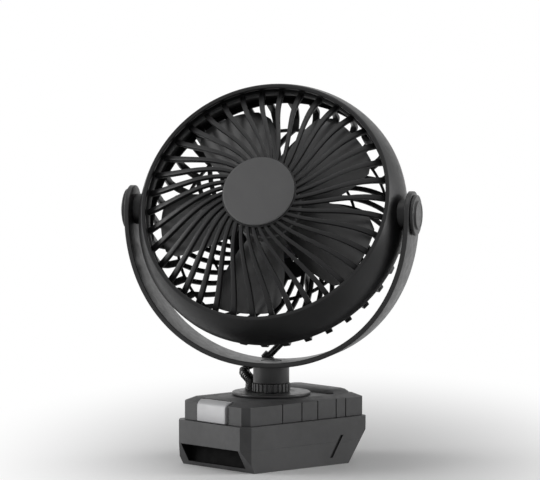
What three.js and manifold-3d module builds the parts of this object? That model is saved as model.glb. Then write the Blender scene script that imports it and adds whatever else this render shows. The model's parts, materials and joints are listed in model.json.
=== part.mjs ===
// Cordless desk fan: a caged fan head tilts in a round yoke, the yoke swivels on a
// flat power adapter, and the adapter stands on a slide-on battery pack.
// Millimetres, +Z up. The origin is the centre of the pack's underside, the release
// button faces -Y, and the rest pose is swivelled and tilted as in use.

import * as THREE from 'three';
import { mergeVertices } from 'three/addons/utils/BufferGeometryUtils.js';
import Module from 'manifold-3d';

const wasm = await Module();
wasm.setup();

// ================================================================ driving sizes

const gap = 0.3;                 // face gap between neighbouring pieces
const swivel = 33;               // degrees, yoke turned from facing -Y towards +X
const tilt = 27;                 // degrees, head tilted up

// battery pack
const packWidth = 77;
const packLength = 118;
const packHeight = 33;
const packWall = 2.4;
const packCorner = 5.8;          // upright corner chamfers at the button end
const packSplit = 16.2;          // height of the joint between the two cases
const noseRun = 9;               // the lower button end slopes back this far
const noseHeight = 16;
const tailRun = 19.3;            // the lower far end slopes in this far
const tailHeight = 27;
const pocketWidth = 61;          // finger pocket in the sloping nose
const pocketFloor = 3;
const pocketDepth = 10.5;
const noseBlock = 12.9;          // solid nose that holds the button's spring
const tongueWidth = 31.4;        // raised tongue that slides into the adapter
const tongueHeight = 6.5;
const tongueRear = 36;

// cells and board in the pack
const cellRadius = 9.1;
const cellLength = 65;
const cellCount = 5;
const cradleGrip = 6.1;          // cradle's top lies this far under the cell axes
const cradleRear = 35.5;
const boardThickness = 1.4;
const boardHeadroom = 0.5;       // between the board and the case over it
const packBoard = [50, 60];      // width and length
const adapterBoard = [44, 30];
const adapterBoardFront = 10;

// release button
const buttonInset = 0.5;         // each side of the button inside the tongue's
const buttonDepth = 7.2;
const buttonTravel = 3.5;
const buttonSetBack = 1.6;       // from the nose to the button's face
const buttonScoop = 3.4;         // thumb scoop in its upper edge
const springRadius = 2.6;
const springLength = 12.7;       // bore of the spring, under the pack's top

// adapter
const adapterInset = 3.6;        // its walls stand this far inside the pack's
const adapterTailInset = 0.6;    // and this far at the far end
const adapterHeight = 13.1;      // straight part of its walls
const adapterCorner = 4.6;
const adapterWall = 2.4;
const crownRise = 2.8;           // sloping crown over the straight walls
const crownInset = 5.4;
const humpRise = 3.1;            // raised far end of the crown
const humpStart = 30;
const floorPlate = 2.2;
const channelWall = 1.8;
const channelRear = 38;
const channelHeadroom = 0.5;
const railDepth = 1.2;
const railHeight = 2;
const railLift = 2.9;            // rails above the pack's top
const fluteWidth = 0.9;          // upright grooves in the long sides
const fluteDepth = 0.7;
const flutePlaces = [-20.4, -2, 13.2, 30.9, 40.1];
const adapterScrewX = 27;
const adapterScrewY = [-45, 48];
const adapterBoss = 3.4;
const atticHalf = 24;            // half width of the room under the crown
const atticMargin = 9;

// electrical contacts between adapter and pack
const contactPlaces = [-7, 7];
const contactThickness = 0.9;
const contactHeight = 3;
const contactLift = 2.4;
const contactFront = 26;
const contactBlockHalf = 12;
const contactBlockDepth = 4.2;
const speedControlHalf = 5.5;

// swivel
const plateRadius = 28;
const plateThickness = 2;
const collarRadius = 13.6;
const collarHeight = 5.7;
const collarRibs = 24;
const collarRibDepth = 0.7;
const neckRadius = 12.9;
const boltRadius = 4;
const boltHeadRadius = 7;
const boltHeadHeight = 4.6;
const boltHeadLift = 4.5;        // bolt head above the neck's foot
const nutHeight = 3.2;
const nutRadius = 6.6;
const washerHeight = 0.8;
const washerRadius = 9;
const plugHeight = 3.2;

// yoke
const neckHeight = 12;           // from the neck's foot to the lowest point of the bow
const armClearance = 3.5;        // between the head's widest part and the arms
const bowClearance = 9.1;        // between the head's radius and the low point of the bow
const yokeThickness = 3.6;
const yokeBand = 34;             // width of the band
const yokePower = 2.15;          // squareness of the bow: 2 is an ellipse
const yokeSteps = 48;

// tilt pivots
const bushRadius = 5;
const bushBore = 3.2;
const pivotScrewRadius = 2.9;
const pivotScrewDepth = 6;       // reach into the head's boss
const screwHeadRadius = 5.5;
const screwHeadHeight = 1.7;
const capRadius = 14.5;
const capEdge = 2.4;
const capRise = 1.3;
const capStepRadius = 10.5;

// fan head, along its own axis: 0 is the pivot and + is the front
const lipFront = 20.5;
const lipTaper = 7;              // the lip's radius is this much less than the widest part's
const lipBead = 2.8;             // the lip turns in this far past the wall's skin
const bellyRadius = 97.5;
const bellyPlace = -4;
const bellyPower = 1.8;
const shellRear = -14;
const rearTaper = 1;
const shellWall = 2.2;
const pivotBossRadius = 11;
const hubRadius = 25.9;          // plain disc in the middle of the front grille
const hubFace = 39.5;
const hubThickness = 1.8;
const hubRingWidth = 9;
const hubRingOverhang = 1.1;     // ring under the disc, outside its edge
const hubRingHeight = 4;
const spokeCount = 38;
const spokeRoot = 1.9;           // spokes start this far inside the disc's edge
const spokeInset = 2;            // and end this far inside the lip's radius
const spokeRimWidth = 4;
const spokeHubWidth = 2.4;
const spokeDepth = 3.4;
const spokeSwirl = 900 / spokeCount;   // degrees that a spoke turns on its way out
const spokeBend = 2.2;           // how soon it turns: 1 is evenly, more is near the hub
const spokeRimPlace = 10.2;
const spokePower = 1.9;
const spokeStations = 7;
const rimRingInset = 3.5;        // ring's inner edge inside the lip's radius
const rimRingOutset = 0.8;
const rimRingHeight = 4.4;

// rear grille
const rearRibInset = 4.3;        // from the shell's rear edge in to the ribs' outside
const rearRimWall = 1.2;         // the rim's inner edge lies this far inside the ribs' outside
const rearRimDepth = 1.6;
const rearRimInset = 0.9;        // from the shell's outer edge in to the rim's
const rearLugDepth = 3.2;
const rearCorner = -28.5;        // where the ribs turn from the rim to the back
const rearBack = -36;
const rearPlateRadius = 39;      // solid middle of the back
const rearRibCount = 36;
const rearRibWidth = 5;
const rearRibRoot = 3.4;         // rib width at the solid middle
const rearSwirl = -30;           // degrees that a rib turns on its way out
const rearRibDepth = 2.4;
const rearRings = [53, 77];      // inner radii of the rings between the ribs
const rearRingWidth = 2;
const lugRadius = 4.4;
const lugHeight = 10;             // lug on the shell that a case screw bites into
const lugInset = 8.5;            // from the shell's rear edge in to the case screws
const lugAngles = [45, 135, 225, 315];
const caseScrewRadius = 1.3;
const caseScrewReach = 6;
const smallHeadRadius = 2.7;     // heads of the small screws
const smallHeadHeight = 1.4;

// motor and rotor
const motorRadius = 23;
const motorLength = 23;
const shaftRadius = 2;
const shaftRear = -28;
const shaftEnd = 4;              // shaft in front of the rotor's hub
const bearingRadius = 4.8;
const bearingWidth = 2.7;
const rotorHubRadius = 25;
const rotorClearance = 2.3;      // between motor and rotor
const rotorHubHeight = 19;
const rotorHubWall = 2;
const bladeCount = 5;
const bladeClearance = 10.5;     // between the lip's radius and the blades' tips
const bladeTurn = 47;            // degrees, where the first blade stands
const bladeThickness = 1.5;
const bladeRise = 10;            // middle of the blades in front of the rotor's rear
const bladeStations = [          // [radius share, degrees of circle, axial reach]
  [0, 68, 16],
  [0.2, 64, 17],
  [0.45, 57, 17],
  [0.7, 49, 16],
  [0.9, 42, 13],
  [1, 30, 8],
];
const bladeChordSteps = 5;
const bladeCamber = 2.2;
const rotorNutRadius = 4.6;
const rotorNutHeight = 3.2;

// speed knob at the far end of the adapter
const knobRadius = 5.3;
const knobLength = 6.5;
const knobX = 12;
const knobStem = 2.4;
const knobFlutes = 16;
const knobFluteDepth = 0.5;

// lead between head and adapter, in the yoke's frame: heights are from the bow's inner face
const leadRadius = 2.5;
const leadSides = 8;
const glandRadius = 4.4;
const glandHeight = 3.4;
const headGland = [12, -22];     // on the rear plate, in the head's frame
const baseGland = [-17.8, 9.5];  // under the end of the lower lead
const clipPlace = -8.4;
const clipStandOff = 4.8;        // from the band's edge to the lead's middle
const clipRise = 0.1;
const clipDirection = [-0.66, -0.15, -0.735];
const clipLength = 5;
const clipWall = 1.5;
const clipFoot = 7;              // width of the clip's foot
const leadUpperRoute = [
  [12, 25.9, 68.6], [12, 34.5, 64.2], [12.8, 48, 56.6], [13, 54.5, 45.6], [12.5, 49, 34.6],
  [10.8, 36.5, 24.6], [5.5, 26.4, 15.2], [-1.5, 23.3, 7.6],
];
const leadLowerRoute = [
  [-16.4, 20.6, -4.8], [-22.8, 17.6, -7.2], [-23.6, 13.6, -10.4], [-20.8, 11, -12.8],
  [-18.4, 9.7, -15], [-17.8, 9.5, -16.5],
];

// ================================================================ helpers

const radians = THREE.MathUtils.degToRad;

// A closed triangle mesh as a solid for joining and cutting: shared corners are
// merged, triangles without area dropped, and an inside-out mesh is turned.
function solid(geometry) {
  const bare = new THREE.BufferGeometry();
  bare.setAttribute('position', geometry.getAttribute('position').clone());
  if (geometry.index) bare.setIndex(geometry.index.clone());
  const merged = mergeVertices(bare, 1e-4);
  const points = merged.getAttribute('position').array;
  const index = merged.index.array;
  const faces = [];
  let volume = 0;
  for (let i = 0; i < index.length; i += 3) {
    const [a, b, c] = [index[i], index[i + 1], index[i + 2]];
    if (a === b || b === c || c === a) continue;
    faces.push(a, b, c);
    const u = new THREE.Vector3().fromArray(points, a * 3);
    const v = new THREE.Vector3().fromArray(points, b * 3);
    const w = new THREE.Vector3().fromArray(points, c * 3);
    volume += u.dot(v.cross(w));
  }
  if (volume < 0) {
    for (let i = 0; i < faces.length; i += 3) {
      [faces[i + 1], faces[i + 2]] = [faces[i + 2], faces[i + 1]];
    }
  }
  return new wasm.Manifold(new wasm.Mesh({
    numProp: 3,
    vertProperties: new Float32Array(points),
    triVerts: new Uint32Array(faces),
  }));
}

function asGeometry(body) {
  const mesh = body.getMesh();
  const geometry = new THREE.BufferGeometry();
  geometry.setAttribute('position', new THREE.BufferAttribute(mesh.vertProperties, 3));
  geometry.setIndex(new THREE.BufferAttribute(mesh.triVerts, 1));
  return geometry;
}

function union(...pieces) {
  return asGeometry(pieces.map(solid).reduce((sum, piece) => sum.add(piece)));
}

function cut(body, ...tools) {
  return asGeometry(tools.map(solid).reduce((rest, tool) => rest.subtract(tool), solid(body)));
}

function common(body, other) {
  return asGeometry(solid(body).intersect(solid(other)));
}

// Box between any two opposite corners.
function block([x0, y0, z0], [x1, y1, z1]) {
  const box = new THREE.BoxGeometry(Math.abs(x1 - x0), Math.abs(y1 - y0), Math.abs(z1 - z0));
  return box.translate((x0 + x1) / 2, (y0 + y1) / 2, (z0 + z1) / 2);
}

// Solid turned about Z from [radius, z] points that start and end on the axis.
function turned(points, sides = 48) {
  const outline = points.map(([r, z]) => new THREE.Vector2(r, z));
  return new THREE.LatheGeometry(outline, sides).rotateX(Math.PI / 2);
}

// The same for an outline that stays clear of the axis and closes on itself.
const ring = (points, sides = 48) => turned([...points, points[0]], sides);

const rod = (r, z0, z1, sides = 20) => turned([[0, z0], [r, z0], [r, z1], [0, z1]], sides);

const washer = (inner, outer, z0, z1, sides = 20) => ring(
  [[inner, z0], [outer, z0], [outer, z1], [inner, z1]], sides);

const outline = (points) => new THREE.Shape(points.map(([x, y]) => new THREE.Vector2(x, y)));

const pulled = (points, depth) => new THREE.ExtrudeGeometry(
  outline(points), { depth, bevelEnabled: false });

// Outline of [x, y] points, pulled up from z0 to z1.
const upward = (points, z0, z1) => pulled(points, z1 - z0).translate(0, 0, z0);

// Outline of [y, z] points, pulled along X from x0 to x1.
const sideways = (points, x0, x1) => pulled(points, x1 - x0).translate(0, 0, x0)
  .applyMatrix4(new THREE.Matrix4().makeBasis(
    new THREE.Vector3(0, 1, 0), new THREE.Vector3(0, 0, 1), new THREE.Vector3(1, 0, 0)));

// Outline of [x, z] points, pulled along Y from y0 to y1.
const backward = (points, y0, y1) => pulled(points, y1 - y0).translate(0, 0, -y1)
  .rotateX(Math.PI / 2);

// Rings of points with equal counts, joined by a skin and closed by flat ends.
function loft(rings) {
  const count = rings[0].length;
  const faces = [];
  for (let k = 0; k + 1 < rings.length; k++) {
    for (let i = 0; i < count; i++) {
      const a = k * count + i;
      const b = k * count + (i + 1) % count;
      faces.push(a, b, b + count, a, b + count, a + count);
    }
  }
  const last = (rings.length - 1) * count;
  for (let i = 1; i + 1 < count; i++) {
    faces.push(0, i + 1, i, last, last + i, last + i + 1);
  }
  const geometry = new THREE.BufferGeometry();
  geometry.setAttribute('position', new THREE.Float32BufferAttribute(rings.flat(2), 3));
  geometry.setIndex(faces);
  return geometry;
}

const circle = (count, radiusAt) => Array.from({ length: count }, (_, i) => {
  const angle = i * 2 * Math.PI / count;
  const r = typeof radiusAt === 'number' ? radiusAt : radiusAt(i);
  return [r * Math.cos(angle), r * Math.sin(angle)];
});

// Knurled outline: tips and roots take turns.
const ribbed = (ribs, tip, depth) => circle(ribs * 2, (i) => tip - depth * (i % 2));

// Rectangle with cut corners.
function cutCorners(halfX, y0, y1, nearCorner, farCorner) {
  return [
    [-halfX, y0 + nearCorner], [-halfX + nearCorner, y0], [halfX - nearCorner, y0],
    [halfX, y0 + nearCorner], [halfX, y1 - farCorner], [halfX - farCorner, y1],
    [-halfX + farCorner, y1], [-halfX, y1 - farCorner],
  ];
}

const atHeight = (points, z) => points.map(([x, y]) => [x, y, z]);

// Round tube along a smooth curve through hand-placed points.
function tube(points, radius, step) {
  const path = new THREE.CatmullRomCurve3(points.map((p) => new THREE.Vector3(...p)));
  const steps = Math.round(path.getLength() / step);
  return new THREE.ExtrudeGeometry(outline(circle(leadSides, radius)),
    { extrudePath: path, steps, bevelEnabled: false });
}

// Piece made along +Z, turned to point along a direction and moved to a point.
function aimed(geometry, point, direction) {
  const aim = new THREE.Quaternion().setFromUnitVectors(
    new THREE.Vector3(0, 0, 1), new THREE.Vector3(...direction).normalize());
  return geometry.applyQuaternion(aim).translate(...point);
}

// Small screw with its head at z0 and its tip at z1.
const screw = (z0, z1) => turned([
  [0, z0], [smallHeadRadius, z0], [smallHeadRadius, z0 + smallHeadHeight],
  [caseScrewRadius, z0 + smallHeadHeight], [caseScrewRadius, z1], [0, z1],
], 12);

const alongX = (geometry, side) => geometry.rotateY(side * Math.PI / 2);

function rotated([x, y], degrees) {
  const [c, s] = [Math.cos(radians(degrees)), Math.sin(radians(degrees))];
  return [x * c - y * s, x * s + y * c];
}

const finishes = {
  shellPlastic: { color: 0x1b1c1e, roughness: 0.45, metalness: 0 },
  adapterPlastic: { color: 0x222325, roughness: 0.5, metalness: 0 },
  packPlastic: { color: 0x242527, roughness: 0.5, metalness: 0 },
  hubPlastic: { color: 0x3a3b3d, roughness: 0.55, metalness: 0 },
  buttonPlastic: { color: 0xa9abad, roughness: 0.4, metalness: 0 },
  bladePlastic: { color: 0x2a2b2d, roughness: 0.35, metalness: 0 },
  rubber: { color: 0x141414, roughness: 0.7, metalness: 0 },
  nylon: { color: 0xd9d6cc, roughness: 0.5, metalness: 0 },
  steel: { color: 0x9b9da0, roughness: 0.3, metalness: 1 },
  zinc: { color: 0xb4b6b8, roughness: 0.35, metalness: 1 },
  brass: { color: 0xb08d4f, roughness: 0.3, metalness: 1 },
  board: { color: 0x1e5a34, roughness: 0.6, metalness: 0 },
  cellWrap: { color: 0x2f6f9f, roughness: 0.4, metalness: 0 },
};

// Named mesh with a material of its own, put into a group.
function place(group, name, geometry, finish, position = [0, 0, 0]) {
  const whole = asGeometry(solid(geometry));
  whole.computeVertexNormals();
  const mesh = new THREE.Mesh(whole, new THREE.MeshStandardMaterial(finishes[finish]));
  mesh.name = name;
  mesh.position.set(...position);
  group.add(mesh);
}

// ================================================================ battery pack

const nose = -packLength / 2;
const tail = packLength / 2;
const halfPack = packWidth / 2;
const buttonFace = nose + buttonSetBack;
const buttonBack = buttonFace + buttonDepth;
const buttonMiddle = (buttonFace + buttonBack) / 2;
const buttonTop = packHeight + adapterHeight + crownRise;
const buttonWidth = tongueWidth - 2 * buttonInset;
const springSeat = packHeight - springLength - gap;
const tongueFront = buttonBack + 2 * gap;
const boardLow = packHeight - packWall - boardHeadroom - boardThickness;
const cellPitch = 2 * cellRadius + gap;
const cellHeight = boardLow - cellRadius - 2 * gap;
const firstCell = nose + noseBlock + cellRadius + 2 * gap;
const railLow = packHeight + railLift;
const contactLow = packHeight + contactLift;

// Side view of the pack, or of its hollow where inset is a wall.
function packProfile(inset) {
  const slopeInset = inset * 1.25;
  return [
    [nose + inset, packHeight - inset], [nose + inset, noseHeight],
    [nose + noseRun + slopeInset, inset], [tail - tailRun - slopeInset, inset],
    [tail - inset, tailHeight + inset / 4], [tail - inset, packHeight - inset],
  ];
}

function packShell() {
  const plan = cutCorners(halfPack, nose, tail, packCorner, packCorner / 2);
  const outer = common(
    sideways(packProfile(0), -halfPack, halfPack), upward(plan, 0, packHeight));
  const hollow = common(
    sideways(packProfile(packWall), -halfPack + packWall, halfPack - packWall),
    block([-halfPack, nose + noseBlock, 0], [halfPack, tail, packHeight]));
  return cut(outer, hollow);
}

const belowSplit = block(
  [-packWidth, -packLength, -1], [packWidth, packLength, packSplit - gap / 2]);
const aboveSplit = block(
  [-packWidth, -packLength, packSplit + gap / 2], [packWidth, packLength, packHeight + 1]);

function batteryLowerCase() {
  const pocket = block([-pocketWidth / 2, nose - 1, pocketFloor],
    [pocketWidth / 2, nose + pocketDepth, packSplit]);
  return cut(common(packShell(), belowSplit), pocket);
}

function batteryUpperCase() {
  const halfTongue = tongueWidth / 2;
  const tongueTop = packHeight + tongueHeight;
  const tongue = block([-halfTongue, tongueFront, packHeight - packWall],
    [halfTongue, tongueRear, tongueTop]);
  const buttonBed = block(
    [-buttonWidth / 2 - gap, buttonFace - gap, packHeight - buttonTravel - 2 * gap],
    [buttonWidth / 2 + gap, buttonBack + gap, tongueTop]);
  const springBore = rod(springRadius + gap, springSeat, packHeight)
    .translate(0, buttonMiddle, 0);
  const grooves = [-1, 1].map((side) => block(
    [side * (halfTongue - railDepth), tongueFront - 1, railLow - gap],
    [side * (halfTongue + 1), tongueRear + 1, railLow + railHeight + gap]));
  const slots = contactPlaces.map((x) => block(
    [x - contactThickness / 2 - gap, contactFront - 2, contactLow - gap],
    [x + contactThickness / 2 + gap, tongueRear + 1, tongueTop + 1]));
  return cut(union(common(packShell(), aboveSplit), tongue),
    buttonBed, springBore, ...grooves, ...slots);
}

function cellCradle() {
  const body = block([-cellLength / 2 + 1, nose + noseBlock + gap, packWall + gap],
    [cellLength / 2 - 1, cradleRear, cellHeight - cradleGrip]);
  const seats = Array.from({ length: cellCount }, (_, i) => alongX(
    rod(cellRadius + gap, -cellLength, cellLength, 20), 1)
    .translate(0, firstCell + i * cellPitch, cellHeight));
  return cut(body, ...seats);
}

function releaseButton() {
  const profile = [
    [buttonFace, packHeight + gap], [buttonBack, packHeight + gap],
    [buttonBack, buttonTop], [buttonFace + buttonScoop, buttonTop],
    [buttonFace + buttonScoop * 0.35, buttonTop - buttonScoop * 0.5],
    [buttonFace, buttonTop - buttonScoop * 1.2],
  ];
  return sideways(profile, -buttonWidth / 2, buttonWidth / 2);
}

const pack = new THREE.Group();
place(pack, 'battery_lower_case', batteryLowerCase(), 'packPlastic');
place(pack, 'battery_upper_case', batteryUpperCase(), 'packPlastic');
place(pack, 'cell_cradle', cellCradle(), 'packPlastic');
for (let i = 0; i < cellCount; i++) {
  place(pack, `cell_${i + 1}`, alongX(rod(cellRadius, -cellLength / 2, cellLength / 2, 20), 1),
    'cellWrap', [0, firstCell + i * cellPitch, cellHeight]);
}
place(pack, 'battery_board',
  block([-packBoard[0] / 2, firstCell, boardLow],
    [packBoard[0] / 2, firstCell + packBoard[1], boardLow + boardThickness]), 'board');
place(pack, 'release_button', releaseButton(), 'buttonPlastic');
place(pack, 'button_spring', rod(springRadius, springSeat + gap, packHeight, 16),
  'steel', [0, buttonMiddle, 0]);

// ================================================================ adapter

const halfAdapter = halfPack - adapterInset;
const adapterNose = nose + adapterInset;
const adapterTail = tail - adapterTailInset;
const adapterFoot = packHeight + gap;
const shoulder = packHeight + adapterHeight + gap;
const crown = shoulder + crownRise;
const atticTop = crown - adapterWall;
const channelHalf = tongueWidth / 2 + gap;
const channelTop = packHeight + tongueHeight + channelHeadroom;
const tunnelTop = channelTop + channelWall;
const floorTop = adapterFoot + floorPlate;
const mouthHalf = channelHalf + gap;
const mouthRear = buttonBack + 4 * gap;
const contactBlockFront = channelRear + channelWall + gap;
const contactBlockRear = contactBlockFront + contactBlockDepth;
const knobHeight = (adapterFoot + shoulder) / 2;
const plateLow = crown + gap;
const plateTop = plateLow + plateThickness;
const [baseGlandX, baseGlandY] = rotated(baseGland, swivel);
const adapterScrews = [-adapterScrewX, adapterScrewX]
  .flatMap((x) => adapterScrewY.map((y) => [x, y, 0]));
const wireHole = () => rod(glandRadius / 2, adapterFoot, plateTop + glandHeight + 1, 12)
  .translate(baseGlandX, baseGlandY, 0);

function adapterCover() {
  const plan = cutCorners(halfAdapter, adapterNose, adapterTail, adapterCorner, adapterCorner / 2);
  const crownPlan = cutCorners(halfAdapter - crownInset, adapterNose + crownInset,
    adapterTail - crownInset, adapterCorner, adapterCorner / 2);
  const walls = loft([
    atHeight(plan, adapterFoot), atHeight(plan, shoulder), atHeight(crownPlan, crown)]);
  const humpPlan = (inset) => cutCorners(halfAdapter - crownInset - inset, humpStart + inset,
    adapterTail - crownInset - inset, 3, 3);
  const hump = loft([
    atHeight(humpPlan(0.4), crown - 1), atHeight(humpPlan(4), crown + humpRise)]);
  const hollow = block(
    [-halfAdapter + adapterWall, adapterNose + adapterWall, adapterFoot - 1],
    [halfAdapter - adapterWall, adapterTail - adapterWall, shoulder - adapterWall / 2]);
  const attic = block([-atticHalf, adapterNose + atticMargin, floorTop],
    [atticHalf, adapterTail - atticMargin, atticTop]);
  const bosses = adapterScrews.map((at) => rod(
    adapterBoss, floorTop + gap, shoulder - 0.5, 12).translate(...at));
  const bores = adapterScrews.map((at) => rod(
    caseScrewRadius + gap, adapterFoot, shoulder - 3, 12).translate(...at));
  const mouth = block([-mouthHalf, adapterNose - 1, adapterFoot - 1],
    [mouthHalf, mouthRear, crown + 1]);
  const boltHole = rod(boltRadius + gap, adapterFoot, crown + 1);
  const knobHole = rod(knobStem + gap, -5, 5).rotateX(Math.PI / 2)
    .translate(knobX, adapterTail, knobHeight);
  const flutes = flutePlaces.flatMap((y) => [-1, 1].map((side) => block(
    [side * halfAdapter - fluteDepth, y - fluteWidth / 2, adapterFoot - 1],
    [side * halfAdapter + fluteDepth, y + fluteWidth / 2, shoulder])));
  return cut(union(cut(union(walls, hump), hollow, attic), ...bosses),
    mouth, boltHole, knobHole, wireHole(), ...bores, ...flutes);
}

function adapterFloor() {
  const plate = block(
    [-halfAdapter + adapterWall + gap, adapterNose + adapterWall + gap, adapterFoot],
    [halfAdapter - adapterWall - gap, adapterTail - adapterWall - gap, floorTop]);
  const tunnel = block([-channelHalf - channelWall, mouthRear, adapterFoot],
    [channelHalf + channelWall, channelRear + channelWall, tunnelTop]);
  const channel = block(
    [-channelHalf, nose, adapterFoot - 1], [channelHalf, channelRear, channelTop]);
  const mouth = block([-mouthHalf, nose, adapterFoot - 1], [mouthHalf, mouthRear, tunnelTop + 1]);
  const slots = contactPlaces.map((x) => block(
    [x - contactThickness / 2 - gap, channelRear - 1, contactLow - gap],
    [x + contactThickness / 2 + gap, contactBlockFront, contactLow + contactHeight + gap]));
  const holes = adapterScrews.flatMap((at) => [
    rod(caseScrewRadius + gap, adapterFoot - 1, floorTop + 1, 12).translate(...at),
    rod(smallHeadRadius + gap, adapterFoot - 1, adapterFoot + smallHeadHeight + gap, 16)
      .translate(...at)]);
  const rails = [-1, 1].map((side) => block(
    [side * (channelHalf - railDepth), tongueFront + 6, railLow],
    [side * (channelHalf + channelWall / 2), tongueRear - 2, railLow + railHeight]));
  return union(cut(union(plate, tunnel), channel, mouth, ...slots, ...holes), ...rails);
}

const base = new THREE.Group();
place(base, 'adapter_cover', adapterCover(), 'adapterPlastic');
place(base, 'adapter_floor', adapterFloor(), 'adapterPlastic');
adapterScrews.forEach((at, i) => place(base, `adapter_screw_${i + 1}`,
  screw(adapterFoot, shoulder - 4), 'zinc', at));

place(base, 'contact_block', block([-contactBlockHalf, contactBlockFront, floorTop + gap],
  [contactBlockHalf, contactBlockRear, tunnelTop]), 'nylon');
contactPlaces.forEach((x, i) => place(base, `contact_blade_${i + 1}`, block(
  [x - contactThickness / 2, contactFront, contactLow],
  [x + contactThickness / 2, contactBlockFront - gap, contactLow + contactHeight]), 'brass'));
place(base, 'control_board', block([-adapterBoard[0] / 2, adapterBoardFront, tunnelTop + gap],
  [adapterBoard[0] / 2, adapterBoardFront + adapterBoard[1], tunnelTop + gap + boardThickness]),
'board');
place(base, 'speed_control', block(
  [knobX - speedControlHalf, contactBlockRear + gap, floorTop + gap],
  [knobX + speedControlHalf, adapterTail - adapterWall - gap, shoulder - adapterWall / 2 - gap]),
'nylon');

place(base, 'swivel_plate', cut(washer(boltRadius + gap, plateRadius, plateLow, plateTop, 48),
  wireHole()), 'adapterPlastic');
place(base, 'swivel_collar', cut(upward(ribbed(collarRibs, collarRadius, collarRibDepth),
  plateTop + gap, plateTop + gap + collarHeight),
rod(boltRadius + gap, plateTop, plateTop + collarHeight + 1)), 'adapterPlastic');
place(base, 'swivel_washer', washer(boltRadius + gap, washerRadius,
  atticTop - gap - washerHeight, atticTop - gap), 'zinc');
place(base, 'lead_gland_base', washer(glandRadius / 2, glandRadius,
  plateTop + gap, plateTop + gap + glandHeight, 20), 'rubber', [baseGlandX, baseGlandY, 0]);

function speedKnob() {
  const grip = upward(ribbed(knobFlutes, knobRadius, knobFluteDepth), gap, gap + knobLength);
  const stem = rod(knobStem, -adapterWall, gap + 1, 16);
  const mark = block([-0.4, 1.5, gap + knobLength - 0.5],
    [0.4, knobRadius + 1, gap + knobLength + 1]);
  return cut(union(grip, stem), mark).rotateX(-Math.PI / 2);
}

place(base, 'speed_knob', speedKnob(), 'shellPlastic', [knobX, adapterTail, knobHeight]);

// ================================================================ yoke

const yoke = new THREE.Group();
yoke.rotation.z = radians(swivel);
base.add(yoke);

const neckFoot = plateTop + gap + collarHeight + gap;
const boltSeat = neckFoot + boltHeadLift;
const bowInner = neckFoot + neckHeight + yokeThickness;
const yokeDrop = bellyRadius + bowClearance + yokeThickness;
const pivotHeight = neckFoot + neckHeight + yokeDrop;
const armInner = bellyRadius + armClearance;
const yokeHalfWidth = armInner + yokeThickness;
const halfBand = yokeBand / 2;

// Bow of a superellipse, from the right arm down and up to the left arm.
function bow(halfWidth, drop) {
  return Array.from({ length: yokeSteps + 1 }, (_, i) => {
    const angle = Math.PI * i / yokeSteps;
    const across = Math.abs(Math.cos(angle)) ** (2 / yokePower) * Math.sign(Math.cos(angle));
    return [halfWidth * across, pivotHeight - drop * Math.sin(angle) ** (2 / yokePower)];
  });
}

function yokeFrame() {
  const armTop = pivotHeight + yokeBand;
  const band = backward([
    [yokeHalfWidth, armTop], ...bow(yokeHalfWidth, yokeDrop), [-yokeHalfWidth, armTop],
    [-armInner, armTop], ...bow(armInner, yokeDrop - yokeThickness).reverse(),
    [armInner, armTop],
  ], -halfBand, halfBand);
  const roundEnd = Array.from({ length: 25 }, (_, i) => {
    const angle = Math.PI * i / 24;
    return [halfBand * Math.cos(angle), pivotHeight + halfBand * Math.sin(angle)];
  });
  const side = sideways([...roundEnd, [-halfBand, neckFoot - 5], [halfBand, neckFoot - 5]],
    -yokeHalfWidth - 1, yokeHalfWidth + 1);
  const neck = rod(neckRadius, neckFoot, bowInner - yokeThickness / 2, 40);
  const boltHole = rod(boltRadius + gap, neckFoot - 1, boltSeat + 1);
  const headHole = rod(boltHeadRadius + 1.5 * gap, boltSeat, bowInner + 5, 32);
  const bushHoles = [-1, 1].map((s) => alongX(
    rod(bushRadius + gap, armInner - 5, yokeHalfWidth + 5, 32), s)
    .translate(0, 0, pivotHeight));
  return cut(union(common(band, side), neck), boltHole, headHole, ...bushHoles);
}

place(yoke, 'yoke', yokeFrame(), 'shellPlastic');
place(yoke, 'yoke_plug', rod(boltHeadRadius + gap / 2, bowInner - plugHeight - gap / 2,
  bowInner - gap / 2, 32), 'shellPlastic');
place(yoke, 'swivel_bolt', union(
  rod(boltRadius, tunnelTop + 2 * gap, boltSeat + gap + 1, 24),
  upward(circle(6, boltHeadRadius), boltSeat + gap, boltSeat + gap + boltHeadHeight)), 'zinc');
const nutTop = atticTop - 2 * gap - washerHeight;
place(yoke, 'swivel_nut', cut(upward(circle(6, nutRadius), nutTop - nutHeight, nutTop),
  rod(boltRadius + gap, nutTop - nutHeight - 1, nutTop + 1)), 'zinc');

function pivotCap() {
  const face = yokeHalfWidth + gap;
  const body = turned([
    [0, face], [capRadius, face], [capRadius, face + capEdge - 0.8],
    [capRadius - 0.8, face + capEdge], [capStepRadius, face + capEdge],
    [capStepRadius - 0.8, face + capEdge + capRise], [0, face + capEdge + capRise],
  ], 36);
  return cut(body, rod(screwHeadRadius + 1, face - 1, face + screwHeadHeight + 2 * gap, 24));
}

for (const [name, side] of [['left', -1], ['right', 1]]) {
  const pivot = [0, 0, pivotHeight];
  place(yoke, `pivot_cap_${name}`, alongX(pivotCap(), side), 'shellPlastic', pivot);
  place(yoke, `pivot_bush_${name}`, alongX(
    washer(bushBore, bushRadius, armInner, yokeHalfWidth - gap / 2), side), 'nylon', pivot);
}

const clipPoint = [clipPlace, halfBand + clipStandOff, bowInner + clipRise];
const overBow = (points) => points.map(([x, y, z]) => [x, y, bowInner + z]);

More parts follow.
